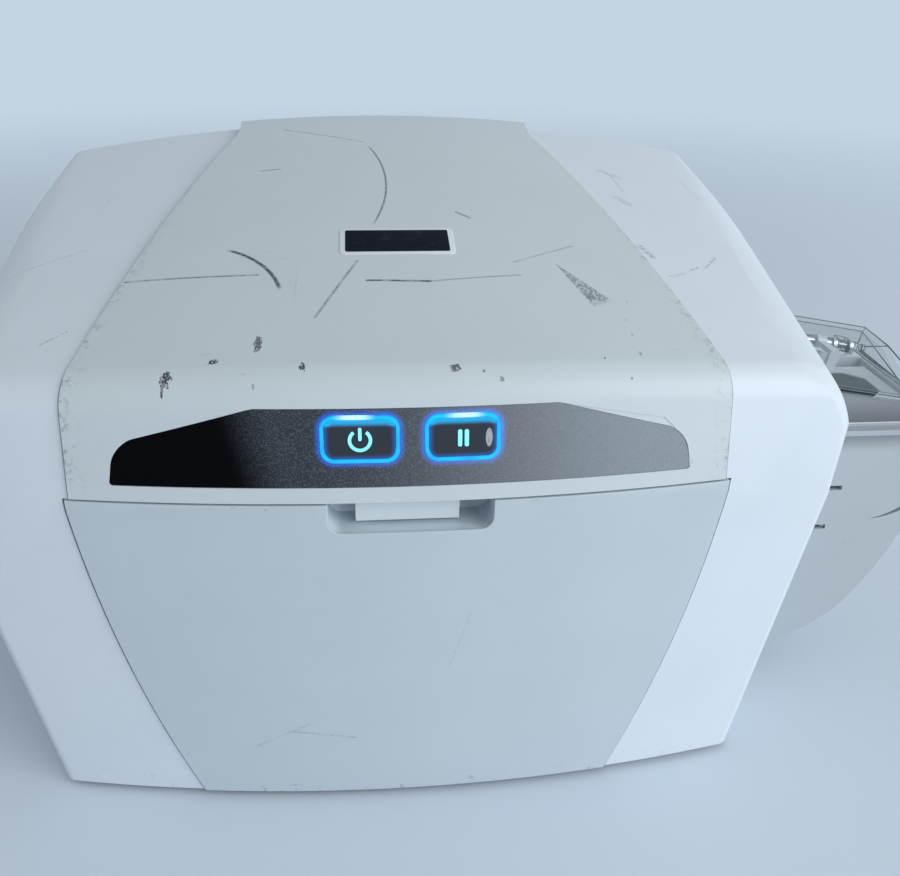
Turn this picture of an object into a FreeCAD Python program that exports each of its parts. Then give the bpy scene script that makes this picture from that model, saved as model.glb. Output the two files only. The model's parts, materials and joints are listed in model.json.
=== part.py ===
import FreeCAD, Part
import math
import os
from FreeCAD import Vector

os.makedirs("parts", exist_ok=True)

# Driving dimensions of the card printer, in millimetres.
# X runs to the right, Y to the back and Z up. The origin is on the table, under the middle of the body.
body_depth = 234.0
body_base_z = 3.0
seam_z = 147.0
ridge_half_width = 174.0
ridge_z = 162.0
foot_half_width = 146.5
crown_half_width = 164.5
crown_z = 228.0
ridge_round = 14.0
wall = 2.4
shell_gap = 0.8
fit_gap = 0.3
running_gap = 0.05
overrun = 40.0

front_y = -body_depth / 2
rear_y = body_depth / 2

# Side profile of the body on its middle plane: a leaning front, a round brow and a rising roof
front_foot_setback = 8.5
front_seam_setback = 0.8
front_lean_deg = 8.0
brow_radius = 16.0
brow_setback = 21.3
brow_z = 180.3
roof_start_deg = 16.2
roof_end_deg = 7.5
roof_rear_z = 248.2
roof_bulge = 3.6

# The profile is swept about a far axis that leans back, which gives the front its bow and the roof its crown
sweep_radius = 650.0
sweep_lean_deg = 28.0
sweep_setback = 60.0
sweep_z = 150.0
sweep_half_deg = 25.0

# Round shoulder that falls away towards the front corner
cheek_radius = 45.0
cheek_inset = 42.5
cheek_setback = 31.0
cheek_z = 149.9
cheek_rise_deg = 14.9

# The white side covers lie a little below the grey lid and front panel
cover_front_step = 1.0
cover_roof_step = 4.0

# Outline of the lid from above and of the front panel from the front, as half widths
lid_rear_half = 74.5
lid_straight_y = 98.0
lid_middle_half = 96.5
lid_middle_y = 8.0
lid_front_half = 121.8
panel_foot_half = 86.0
panel_middle_half = 109.5
panel_middle_z = 75.0

# Plastic card, its path through the machine and the middle of the mechanism
card_width = 54.0
card_thick = 0.76
card_z = 112.0
track_y = -12.0
card_under_z = card_z - card_thick / 2
card_top_z = card_z + card_thick / 2

# Side plates that carry the mechanism, as the faces that look at the cards
plate_space = 78.0
plate_thick = 2.0
front_plate_y = track_y - plate_space / 2
rear_plate_y = track_y + plate_space / 2

# Rollers under the card
roller_radius = 8.0
shaft_radius = 3.0
roller_pitch = 62.0
roller_z = card_under_z - roller_radius

# Gears
gear_module = 1.0
roller_teeth = 30
idler_teeth = 32
wheel_teeth = 48
step_teeth = 18
pinion_teeth = 16
gear_width = 6.0
gear_stand_off = 2.0
plane_gap = 2.0
tip_half_share = 0.34
root_half_share = 0.98
addendum_share = 1.0
dedendum_share = 1.25

# Lid hinge
hinge_inset = 9.0
hinge_z = 236.0
hinge_pin_radius = 3.0
hinge_knuckle_radius = 5.5
hinge_reach = 58.0
knuckle_width = 8.0
hinge_y = rear_y - hinge_inset


def block(x, y, z):
    """A box over three ranges."""
    return Part.makeBox(x[1] - x[0], y[1] - y[0], z[1] - z[0], Vector(x[0], y[0], z[0]))


def rod_x(y, z, radius, x):
    return Part.makeCylinder(radius, x[1] - x[0], Vector(x[0], y, z), Vector(1, 0, 0))


def rod_y(x, z, radius, y):
    return Part.makeCylinder(radius, y[1] - y[0], Vector(x, y[0], z), Vector(0, 1, 0))


def rod_z(x, y, radius, z):
    return Part.makeCylinder(radius, z[1] - z[0], Vector(x, y, z[0]), Vector(0, 0, 1))


def outline(points):
    return Part.Face(Part.makePolygon(points + [points[0]]))


def slab_x(points, x):
    """A (y, z) outline drawn out along X."""
    return outline([Vector(x[0], y, z) for y, z in points]).extrude(Vector(x[1] - x[0], 0, 0))


def slab_y(points, y):
    """An (x, z) outline drawn out along Y."""
    return outline([Vector(x, y[0], z) for x, z in points]).extrude(Vector(0, y[1] - y[0], 0))


def slab_z(points, z):
    """An (x, y) outline drawn out along Z."""
    return outline([Vector(x, y, z[0]) for x, y in points]).extrude(Vector(0, 0, z[1] - z[0]))


def rounded_y(x, z, radius, y):
    """A box whose four edges along Y are rounded."""
    body = block(x, y, z)
    edges = [e for e in body.Edges if abs(e.tangentAt(e.FirstParameter).y) > math.cos(math.pi / 4)]
    return body.makeFillet(radius, edges)


def eight_sided(x, y, half, cut):
    """Corners of a square with its corners cut off."""
    return [
        (x - half + cut, y - half),
        (x + half - cut, y - half),
        (x + half, y - half + cut),
        (x + half, y + half - cut),
        (x + half - cut, y + half),
        (x - half + cut, y + half),
        (x - half, y + half - cut),
        (x - half, y - half + cut),
    ]


def fuse(shapes):
    """Joins touching solids into one."""
    first = shapes[0]
    return first.fuse(shapes[1:]).removeSplitter() if len(shapes) > 1 else first


def group(shapes):
    return Part.makeCompound(shapes)


def mirrored(shape):
    return shape.mirror(Vector(0, 0, 0), Vector(1, 0, 0))


def span(middle, width):
    return (middle - width / 2, middle + width / 2)


def roof_face(inset, front_step, roof_step):
    """Side profile, drawn inwards by the inset and set back from the lid by the two steps."""
    front = inset + front_step
    lean = math.radians(front_lean_deg)
    rise = math.radians(roof_start_deg)
    half = (lean + math.pi / 2 - rise) / 2
    radius = brow_radius - front
    brow_y = front_y + brow_setback
    foot = Vector(0, front_y + front_foot_setback + front, body_base_z - overrun)
    seam = Vector(0, front_y + front_seam_setback + front, seam_z)
    brow_low = Vector(0, brow_y - radius * math.cos(lean), brow_z + radius * math.sin(lean))
    brow_mid = Vector(0, brow_y - radius * math.cos(half), brow_z + radius * math.sin(half))
    brow_high = Vector(0, brow_y - radius * math.sin(rise), brow_z + radius * math.cos(rise))
    rear = Vector(0, rear_y, roof_rear_z - inset - roof_step)
    crest = (brow_high + rear) * 0.5 + Vector(0, 0, roof_bulge)
    tail = rear + Vector(0, overrun, overrun * math.tan(math.radians(roof_end_deg)))
    heel = Vector(0, rear_y + overrun, body_base_z - overrun)
    return Part.Face(Part.Wire([
        Part.LineSegment(heel, foot).toShape(),
        Part.LineSegment(foot, seam).toShape(),
        Part.LineSegment(seam, brow_low).toShape(),
        Part.Arc(brow_low, brow_mid, brow_high).toShape(),
        Part.Arc(brow_high, crest, rear).toShape(),
        Part.LineSegment(rear, tail).toShape(),
        Part.LineSegment(tail, heel).toShape(),
    ]))


def swept(face):
    lean = math.radians(sweep_lean_deg)
    centre = Vector(
        0,
        front_y + sweep_setback + sweep_radius * math.cos(lean),
        sweep_z - sweep_radius * math.sin(lean),
    )
    axis = Vector(0, math.sin(lean), math.cos(lean))
    start = face.copy()
    start.rotate(centre, axis, -sweep_half_deg)
    return start.revolve(centre, axis, 2 * sweep_half_deg)


def side_x(z):
    """Half width of the body at a height, on the straight flanks."""
    if z < ridge_z:
        share = (z - body_base_z) / (ridge_z - body_base_z)
        return foot_half_width + (ridge_half_width - foot_half_width) * share
    share = (z - ridge_z) / (crown_z - ridge_z)
    return ridge_half_width + (crown_half_width - ridge_half_width) * share


def flank_prism(inset, floor_z):
    """Front view of the flanks, with the ridge rounded, drawn out to the rear face."""
    top = roof_rear_z + overrun
    right = [
        (side_x(floor_z) - inset, floor_z),
        (ridge_half_width - inset, ridge_z),
        (side_x(top) - inset, top),
    ]
    left = [(-x, z) for x, z in reversed(right)]
    body = slab_y(right + left, (front_y - overrun, rear_y - inset))
    edges = [
        e for e in body.Edges
        if e.Length > body_depth / 2 and all(abs(v.Z - ridge_z) < running_gap for v in e.Vertexes)
    ]
    return body.makeFillet(ridge_round - inset, edges)


def cheek_cutter(inset):
    """What lies outside the round shoulder on the right."""
    rise = math.radians(cheek_rise_deg)
    along = Vector(0, math.cos(rise), math.sin(rise))
    up = Vector(0, -along.z, along.y)
    x = ridge_half_width - cheek_inset
    start = Vector(x, front_y + cheek_setback, cheek_z) - along * (2 * overrun)
    length = body_depth + 3 * overrun
    out = Vector(2 * cheek_radius, 0, 0)
    corner = outline([start, start + out, start + out + up * out.x, start + up * out.x])
    return corner.extrude(along * length).cut(Part.makeCylinder(cheek_radius - inset, length, start, along))


def body_form(inset=0.0, front_step=0.0, roof_step=0.0, floor_z=body_base_z):
    """The whole outer body, or a smaller one inside it."""
    form = swept(roof_face(inset, front_step, roof_step)).common(flank_prism(inset, floor_z))
    cutter = cheek_cutter(inset + front_step)
    return form.cut([cutter, mirrored(cutter)])


def sunk(shape, back, down):
    """A copy moved backwards and down."""
    return shape.translated(Vector(0, back, -down))


def lid_prism(grow, z):
    """Plan of the lid, widened on both sides, over a range of heights."""
    def at(half, y):
        return Vector(half + grow, y, z[0])

    front = front_y - overrun
    start = at(lid_front_half, front_y)
    middle = at(lid_middle_half, lid_middle_y)
    end = at(lid_rear_half, lid_straight_y)
    nose = Vector(start.x, front, z[0])
    tail = Vector(end.x, rear_y + overrun, z[0])

    def flip(v):
        return Vector(-v.x, v.y, v.z)

    return Part.Face(Part.Wire([
        Part.LineSegment(nose, start).toShape(),
        Part.Arc(start, middle, end).toShape(),
        Part.LineSegment(end, tail).toShape(),
        Part.LineSegment(tail, flip(tail)).toShape(),
        Part.LineSegment(flip(tail), flip(end)).toShape(),
        Part.Arc(flip(end), flip(middle), flip(start)).toShape(),
        Part.LineSegment(flip(start), flip(nose)).toShape(),
        Part.LineSegment(flip(nose), nose).toShape(),
    ])).extrude(Vector(0, 0, z[1] - z[0]))


def panel_prism(grow, top_z):
    """Front view of the front panel, widened on both sides, up to the seam."""
    y = front_y - overrun
    foot = Vector(panel_foot_half + grow, y, body_base_z - overrun)
    low = Vector(panel_foot_half + grow, y, body_base_z)
    middle = Vector(panel_middle_half + grow, y, panel_middle_z)
    high = Vector(lid_front_half + grow, y, top_z)

    def flip(v):
        return Vector(-v.x, v.y, v.z)

    return Part.Face(Part.Wire([
        Part.LineSegment(foot, low).toShape(),
        Part.Arc(low, middle, high).toShape(),
        Part.LineSegment(high, flip(high)).toShape(),
        Part.Arc(flip(high), flip(middle), flip(low)).toShape(),
        Part.LineSegment(flip(low), flip(foot)).toShape(),
        Part.LineSegment(flip(foot), foot).toShape(),
    ])).extrude(Vector(0, body_depth / 2 + overrun, 0))


lid_form = body_form()
lid_inner_form = body_form(wall)
cover_form = body_form(0.0, cover_front_step, cover_roof_step)
cover_inner_form = body_form(wall, cover_front_step, cover_roof_step, body_base_z - overrun)


# Lid: a deep-rimmed shell with two hinge arms
lid_skirt_back = 12.0
lid_skirt_drop = 14.2
lid_low_z = seam_z + shell_gap / 2
lid_rear_low_z = 234.0

# Control band on the lid's front: its corners, from the middle outwards
band_high_z = 182.0
band_low_z = 153.4
band_top_half = 53.0
band_shoulder_half = 97.0
band_shoulder_z = 170.0
band_end_half = 105.5
band_end_z = 155.5
band_corner = 4.0
band_set_in = 0.1
band_thick = 0.8
band_gap = 0.15

# Push buttons in the band, with the light frame round each
power_x = (-29.0, -4.3)
pause_x = (7.5, 31.2)
button_z = (164.0, 178.0)
button_corner = 3.4
ring_width = 1.5
button_gap = 0.25
button_proud = 0.35
button_depth = 3.4
button_stem_radius = 2.2
button_stem_length = 3.0

# Finger pocket below the seam
pocket_x = (-29.0, 31.0)
pocket_low_z = 134.5
pocket_depth = 18.0
pocket_wall = 1.8
pocket_corner = 5.0

# Lid latch: paddle, hooks and pivot
latch_pivot_setback = 13.0
latch_pivot_z = 153.5
latch_pin_radius = 2.0
latch_tube_radius = 3.6
latch_half = 50.0
paddle_half = 19.0
paddle_low_z = 136.0
paddle_setback = 8.2
paddle_thick = 2.2
hook_width = 5.0
hook_thick = 3.0
hook_low_z = 137.5
hook_nose = 2.6
hook_nose_height = 3.0
catch_drop = 3.4
catch_thick = 2.0
catch_reach = 5.0
catch_width = 12.0
latch_lug_width = 3.0
latch_y = front_y + latch_pivot_setback


def band_prism(grow):
    """Front view of the control band, drawn out through the lid's front."""
    top = band_high_z + grow
    low = band_low_z - grow
    right = [
        (band_end_half - band_corner, low),
        (band_end_half + grow, band_end_z),
        (band_shoulder_half + grow, band_shoulder_z),
        (band_shoulder_half - band_corner, band_shoulder_z + band_corner),
        (band_top_half, top),
    ]
    left = [(-x, z) for x, z in reversed(right)]
    return slab_y(right + left, (front_y - overrun, front_y + overrun))


def button_prism(x, grow, y=(front_y - overrun, front_y + overrun)):
    corner = button_corner + grow
    return rounded_y((x[0] - grow, x[1] + grow), (button_z[0] - grow, button_z[1] + grow), corner, y)


def hinge_ear(x, width, grow=0.0):
    """A round-topped arm on the hinge line."""
    return rod_x(hinge_y, hinge_z, hinge_knuckle_radius + grow, span(x, width))


def top_lid():
    low = (lid_low_z, roof_rear_z + overrun)
    outer = lid_form.common(lid_prism(0.0, low))
    inner = lid_inner_form.common(lid_prism(-wall, (lid_low_z - overrun, roof_rear_z + overrun)))
    tail = block(
        (-ridge_half_width, ridge_half_width),
        (lid_straight_y, rear_y + wall),
        (brow_z, lid_rear_low_z),
    )
    shell = outer.cut([inner, sunk(lid_form, lid_skirt_back, lid_skirt_drop), tail])
    arms = []
    for x in (-hinge_reach, hinge_reach):
        cheek = slab_x([
            (hinge_y - hinge_knuckle_radius, hinge_z),
            (hinge_y + hinge_knuckle_radius, hinge_z),
            (hinge_y + hinge_knuckle_radius, roof_rear_z),
            (hinge_y - hinge_knuckle_radius, roof_rear_z),
        ], span(x, knuckle_width))
        arm = cheek.common(lid_inner_form).fuse(hinge_ear(x, knuckle_width))
        bore = rod_x(hinge_y, hinge_z, hinge_pin_radius + running_gap, span(x, 2 * knuckle_width))
        arms.append(arm.cut(bore))
    lugs = []
    for x in (-latch_half, latch_half):
        lug = block(
            span(x, latch_lug_width),
            (front_y, latch_y + latch_tube_radius),
            span(latch_pivot_z, 2 * latch_tube_radius),
        ).common(lid_inner_form)
        pivot = rod_x(latch_y, latch_pivot_z, latch_pin_radius, span(x, 2 * latch_lug_width))
        lugs.append(lug.cut(pivot))
    recess = band_prism(band_gap).cut(body_form(band_set_in + band_thick + band_set_in))
    openings = [button_prism(x, ring_width + band_gap) for x in (power_x, pause_x)]
    return fuse([shell.cut([recess] + openings)] + arms + lugs)


def control_inlay():
    skin = body_form(band_set_in).cut(body_form(band_set_in + band_thick))
    openings = [button_prism(x, ring_width + band_gap) for x in (power_x, pause_x)]
    return skin.common(band_prism(0.0)).cut(openings)


def button_light_rings():
    rings = []
    for x in (power_x, pause_x):
        skin = body_form(-band_set_in).cut(body_form(wall))
        rings.append(skin.common(button_prism(x, ring_width)).cut(button_prism(x, button_gap)))
    return group(rings)


def push_button(x):
    """Cap with a stem that stands a travel's length off its switch."""
    cap = body_form(-button_proud).cut(body_form(button_depth)).common(button_prism(x, 0.0))
    lean = math.radians(front_lean_deg)
    inward = Vector(0, math.cos(lean), -math.sin(lean))
    centre = Vector(sum(x) / 2, cap.BoundBox.YMin, sum(button_z) / 2)
    start = centre + inward * (button_depth - fit_gap)
    stem = Part.makeCylinder(button_stem_radius, button_stem_length, start, inward)
    return cap.fuse(stem).removeSplitter()


# Control board behind the buttons, with one switch for each
board_thick = 1.6
board_margin = 8.0
switch_height = 2.6
switch_tip_radius = 1.7
switch_clear = 1.2
board_post_radius = 3.0


def control_board():
    lean = math.radians(front_lean_deg)
    inward = Vector(0, math.cos(lean), -math.sin(lean))
    pieces = []
    fronts = []
    for x in (power_x, pause_x):
        cap = push_button(x)
        centre = Vector(sum(x) / 2, cap.BoundBox.YMin, sum(button_z) / 2)
        tip = centre + inward * (button_depth - fit_gap + button_stem_length + switch_clear)
        pieces.append(Part.makeCylinder(switch_tip_radius, switch_height, tip, inward))
        fronts.append(tip)
    face = fronts[0] + inward * switch_height
    low = button_z[0] - board_margin / 2
    high = button_z[1] + board_margin / 2
    width = (power_x[0] - board_margin, pause_x[1] + board_margin)
    board = block(width, (face.y, face.y + board_thick), (low, high))
    board.rotate(face, Vector(1, 0, 0), -front_lean_deg)
    posts = []
    for x in (width[0] + board_post_radius, width[1] - board_post_radius):
        start = Vector(x, face.y, face.z)
        posts.append(Part.makeCylinder(board_post_radius, wall + board_margin, start, -inward))
    inside = body_form(wall + fit_gap)
    return fuse([board] + pieces + [post.common(inside) for post in posts])


def latch_paddle():
    """Press paddle, pivot tube and two hooks in one moulding."""
    tube_end = latch_half - latch_lug_width
    tube = rod_x(latch_y, latch_pivot_z, latch_tube_radius, (-tube_end, tube_end))
    face_y = front_y + paddle_setback
    plate = block((-paddle_half, paddle_half), (face_y, face_y + paddle_thick), (paddle_low_z, lid_low_z))
    neck = slab_x([
        (face_y, lid_low_z - paddle_thick),
        (face_y + paddle_thick, lid_low_z - paddle_thick),
        (latch_y + latch_tube_radius, latch_pivot_z),
        (latch_y - latch_tube_radius, latch_pivot_z),
    ], (-paddle_half, paddle_half))
    hooks = []
    reach = latch_half - latch_lug_width - hook_width
    for x in (-reach, reach):
        y = (latch_y, latch_y + hook_thick)
        arm = block(span(x, hook_width), y, (hook_low_z, latch_pivot_z))
        nose = slab_x([
            (y[0], hook_low_z),
            (y[0], hook_low_z + hook_nose_height),
            (y[0] - hook_nose, hook_low_z + hook_nose_height),
        ], span(x, hook_width))
        hooks += [arm, nose]
    pin_bore = rod_x(latch_y, latch_pivot_z, latch_pin_radius + running_gap, (-latch_half, latch_half))
    return fuse([tube, plate, neck] + hooks).cut(pin_bore)


def latch_pin():
    end = latch_half + latch_lug_width
    return rod_x(latch_y, latch_pivot_z, latch_pin_radius, (-end, end))


def front_panel():
    """Bowed front shell with the finger pocket and the two catches for the latch."""
    outer = lid_form.common(panel_prism(0.0, seam_z))
    above = (seam_z - shell_gap / 2, crown_z)
    high = block((-ridge_half_width, ridge_half_width), (front_y - overrun, rear_y), above)
    inner = body_form(wall, 0.0, 0.0, body_base_z - overrun)
    shell = outer.cut([inner, high])
    y = (front_y, front_y + pocket_depth)
    z = (pocket_low_z, seam_z - shell_gap / 2)
    hollow = rounded_y(pocket_x, (z[0], z[1] + overrun), pocket_corner, (y[0] - overrun, y[1]))
    cup_x = (pocket_x[0] - pocket_wall, pocket_x[1] + pocket_wall)
    cup_z = (z[0] - pocket_wall, z[1] + overrun)
    cup = rounded_y(cup_x, cup_z, pocket_corner + pocket_wall, (y[0], y[1] + pocket_wall))
    cup = cup.common(lid_form).cut(high)
    catches = []
    reach = latch_half - latch_lug_width - hook_width
    top = seam_z - catch_drop
    for x in (-reach, reach):
        ledge = block(span(x, catch_width), (front_y, front_y + wall + catch_reach), (top - catch_thick, top))
        catches.append(ledge.common(lid_form))
    return fuse([shell, cup] + catches).cut(hollow)


# Side covers: shells with a rebate under the lid's rim
rebate_wall = 2.0
ledge_width = 5.0
ledge_thick = 2.4
ledge_clear = 0.8
rear_panel_half = lid_rear_half
vent_count = 9
vent_pitch = 8.0
vent_height = 3.0
vent_length = 70.0
vent_low_z = 38.0
vent_y = 10.0

# Window in the right cover for the card hopper
window_y = (-49.5, 25.5)
window_z = (11.0, 170.0)


def side_cover(cutters):
    """The cover on the right, less what the cutters take."""
    above = (seam_z, roof_rear_z + overrun)
    depth = (front_y - overrun, rear_y + overrun)
    space = block((0, ridge_half_width + overrun), depth, (body_base_z, above[1]))
    rear = block(
        (-rear_panel_half - shell_gap, rear_panel_half + shell_gap),
        (rear_y - wall - shell_gap, rear_y + overrun),
        (body_base_z - overrun, roof_rear_z + overrun),
    )
    front = panel_prism(shell_gap, seam_z)
    shell = cover_form.cut([cover_inner_form, lid_prism(shell_gap, above), front, rear]).common(space)
    rim = lid_prism(shell_gap + rebate_wall, above).cut(lid_prism(shell_gap, above))
    deep = sunk(cover_form, lid_skirt_back + ledge_clear, lid_skirt_drop + ledge_clear)
    deeper = sunk(cover_form, lid_skirt_back + ledge_clear, lid_skirt_drop + ledge_clear + ledge_thick)
    rim = rim.common(cover_form).cut(deeper)
    ledge = lid_prism(shell_gap + rebate_wall / 2, above).cut(lid_prism(-ledge_width, above))
    ledge = ledge.common(deep).cut(deeper)
    keep = block(
        (0, ridge_half_width),
        (front_y + brow_setback, hinge_y - hinge_knuckle_radius),
        (seam_z + ledge_thick, roof_rear_z),
    )
    rebate = rim.fuse(ledge).common(keep)
    return shell.fuse(rebate).removeSplitter().cut(cutters)


def left_cover():
    slots = []
    for i in range(vent_count):
        z = vent_low_z + i * vent_pitch
        y = span(vent_y, vent_length)
        slots.append(rounded_x((0, ridge_half_width), y, (z, z + vent_height)))
    return mirrored(side_cover(slots))


def rounded_x(x, y, z):
    """A slot along Y with round ends, drawn out along X."""
    radius = (z[1] - z[0]) / 2
    middle = (z[0] + z[1]) / 2
    core = block(x, (y[0] + radius, y[1] - radius), z)
    ends = [rod_x(end, middle, radius, x) for end in (y[0] + radius, y[1] - radius)]
    return fuse([core] + ends)


def right_cover():
    x = (foot_half_width - overrun, ridge_half_width + overrun)
    return side_cover([block(x, window_y, window_z)])


# Rear panel: flat plate with vents, socket windows and a lock slot
rear_low_z = 6.0
rear_top_z = 228.4
rear_vent_count = 12
rear_vent_pitch = 7.0
rear_vent_width = 3.0
rear_vent_z = (150.0, 196.0)
usb_x = -52.0
usb_width = 12.0
usb_height = 11.0
jack_x = -20.0
jack_radius = 5.6
socket_gap = 0.5
board_z = 16.0
lock_x = 52.0
lock_z = 40.0
lock_width = 7.0
lock_height = 3.2


def socket_heights():
    """Middle heights of the two sockets on the main board."""
    top = board_z + board_thick
    return top + usb_height / 2, top + jack_radius


def rear_panel():
    half = rear_panel_half
    y = (rear_y - wall, rear_y)
    plate = block((-half, half), y, (rear_low_z, rear_top_z))
    through = (rear_y - 2 * wall, rear_y + wall)
    cuts = []
    start = -(rear_vent_count - 1) * rear_vent_pitch / 2
    for i in range(rear_vent_count):
        cuts.append(block(span(start + i * rear_vent_pitch, rear_vent_width), through, rear_vent_z))
    usb_z, jack_z = socket_heights()
    usb_hole_x = span(usb_x, usb_width + 2 * socket_gap)
    cuts.append(block(usb_hole_x, through, span(usb_z, usb_height + 2 * socket_gap)))
    cuts.append(rod_y(jack_x, jack_z, jack_radius + socket_gap, through))
    cuts.append(rounded_y(span(lock_x, lock_width), span(lock_z, lock_height), lock_height / 3, through))
    return plate.cut(cuts)


# Base pan: floor with an upturned rim, foot recesses and ribs
pan_fit = 0.4
pan_wall = 2.2
pan_floor = 2.5
pan_rim_top = 15.0
pan_rib_height = 4.0
pan_rib_thick = 1.8
foot_radius = 9.0
foot_recess = 1.0
foot_x = 122.0
foot_front_inset = 39.0
foot_rear_inset = 25.0
pan_post_radius = 3.5
pan_top_z = body_base_z + pan_floor
foot_front_y = front_y + foot_front_inset
foot_rear_y = rear_y - foot_rear_inset


def foot_places():
    corners = [(x, y) for x in (-foot_x, foot_x) for y in (foot_front_y, foot_rear_y)]
    return corners + [(0, 0)]


def board_posts():
    margin = 2 * pan_post_radius
    columns = (board_x[0] + margin, board_x[1] - margin)
    rows = (board_y[0] + margin, board_y[1] - margin)
    return [(x, y) for x in columns for y in rows]


def base_pan():
    outer_inset = wall + pan_fit
    inner_inset = outer_inset + pan_wall
    outer = body_form(outer_inset, cover_front_step, cover_roof_step)
    low = block((-ridge_half_width, ridge_half_width), (front_y, rear_y), (body_base_z, pan_rim_top))
    inner = body_form(inner_inset, cover_front_step, cover_roof_step, pan_top_z)
    pan = outer.common(low).cut(inner)
    rib_z = (body_base_z + pan_floor / 2, pan_top_z + pan_rib_height)
    reach = foot_x + foot_radius + 2 * pan_rib_thick
    ribs = [block(span(x, pan_rib_thick), (foot_front_y, foot_rear_y), rib_z) for x in (-reach, reach)]
    posts = [rod_z(x, y, pan_post_radius, (rib_z[0], board_z)) for x, y in board_posts()]
    pad_z = (body_base_z - overrun, body_base_z + foot_recess)
    pads = [rod_z(x, y, foot_radius, pad_z) for x, y in foot_places()]
    return fuse([pan] + ribs + posts).cut(pads)


def rubber_feet():
    feet = []
    for x, y in foot_places():
        pad = rod_z(x, y, foot_radius - fit_gap, (0, body_base_z + foot_recess))
        rim = [e for e in pad.Edges if e.BoundBox.ZMax < running_gap]
        feet.append(pad.makeChamfer(foot_recess, rim))
    return group(feet)


# Main board with the two sockets on its rear edge
board_x = (-92.0, 36.0)
board_depth = 58.0
board_rear_inset = 5.0
board_y = (rear_y - board_rear_inset - board_depth, rear_y - board_rear_inset)
chip_insets = [(-70.0, 39.0, 20.0), (-36.0, 43.0, 14.0), (8.0, 39.0, 16.0)]
chip_height = 3.0
usb_depth = 16.0
usb_wall = 0.7
usb_mouth = 5.0
usb_tongue_width = 5.6
usb_tongue_height = 3.2
jack_depth = 13.0
jack_bore = 3.2
jack_bore_depth = 9.0
jack_pin_radius = 1.2


def main_board():
    """Board on the four posts of the base pan, with its three large chips."""
    board = block(board_x, board_y, (board_z, board_z + board_thick))
    chip_z = (board_z + board_thick, board_z + board_thick + chip_height)
    chips = [
        block(span(x, side), span(rear_y - inset, side), chip_z)
        for x, inset, side in chip_insets
    ]
    return fuse([board] + chips)


def usb_port():
    """Square socket shell, open to the back, with its contact tongue."""
    z = socket_heights()[0]
    y = (rear_y - usb_depth, rear_y - fit_gap)
    shell = block(span(usb_x, usb_width), y, span(z, usb_height))
    mouth = block(
        span(usb_x, usb_width - 2 * usb_wall),
        (y[0] + usb_wall, rear_y + overrun),
        span(z, usb_height - 2 * usb_wall),
    )
    tongue = block(span(usb_x, usb_tongue_width), (y[0], y[1] - usb_mouth), span(z, usb_tongue_height))
    return shell.cut(mouth).fuse(tongue).removeSplitter()


def power_jack():
    """Round socket with its centre pin set back in the bore."""
    z = socket_heights()[1]
    y = (rear_y - jack_depth, rear_y - fit_gap)
    barrel = rod_y(jack_x, z, jack_radius, y)
    base = block(span(jack_x, 2 * jack_radius), (y[0], rear_y - wall - fit_gap), (board_z + board_thick, z))
    bore = rod_y(jack_x, z, jack_bore, (y[1] - jack_bore_depth, y[1] + overrun))
    pin = rod_y(jack_x, z, jack_pin_radius, (y[0], y[1] - usb_mouth))
    return fuse([barrel, base]).cut(bore).fuse(pin).removeSplitter()


# Mechanism frame: two side plates, tie rods and the roller bushes
plate_left_x = -98.0
plate_right_x = 132.0
plate_low_top = 130.0
plate_high_top = 160.0
plate_corner = 10.0
tower_half = 60.0
notch_half = 18.0
notch_z = 117.0
plate_flange = 12.0
tie_radius = 4.0
tie_places = [(-90.0, 40.0), (124.0, 40.0), (-90.0, 122.0), (60.0, 74.0)]
bush_radius = 5.0
bush_proud = 0.6
cleaner_x = 98.0
pinch_radius = 5.0
pinch_axle_radius = 2.5
pinch_z = card_top_z + fit_gap + pinch_radius
spool_reach = 38.0
spool_z = 150.0
boss_radius = 6.0
motor_side = 42.0
motor_length = 38.0
motor_collar_radius = 11.0
flap_pivot_x = 112.0
flap_pin_radius = 2.0
flap_z = card_under_z - flap_pin_radius - fit_gap
window_low_z = 22.0

roller_places = [-roller_pitch, 0.0, roller_pitch, cleaner_x]
roller_gear_radius = gear_module * roller_teeth / 2
wheel_radius = gear_module * wheel_teeth / 2
step_radius = gear_module * step_teeth / 2
pinion_radius = gear_module * pinion_teeth / 2
idler_reach = roller_pitch / 2
step_z = roller_z - roller_gear_radius - step_radius
motor_z = step_z - wheel_radius - pinion_radius
gear_start_y = rear_plate_y + plate_thick + gear_stand_off
near_plane = (gear_start_y, gear_start_y + gear_width)
far_plane = (near_plane[1] + plane_gap, near_plane[1] + plane_gap + gear_width)


def spool_slot(x, through):
    """Slot that a boss of the ribbon cartridge drops into."""
    half = boss_radius + fit_gap
    return fuse([
        rod_y(x, spool_z, half, through),
        block(span(x, 2 * half), through, (spool_z, plate_high_top + plate_thick)),
    ])


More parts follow.
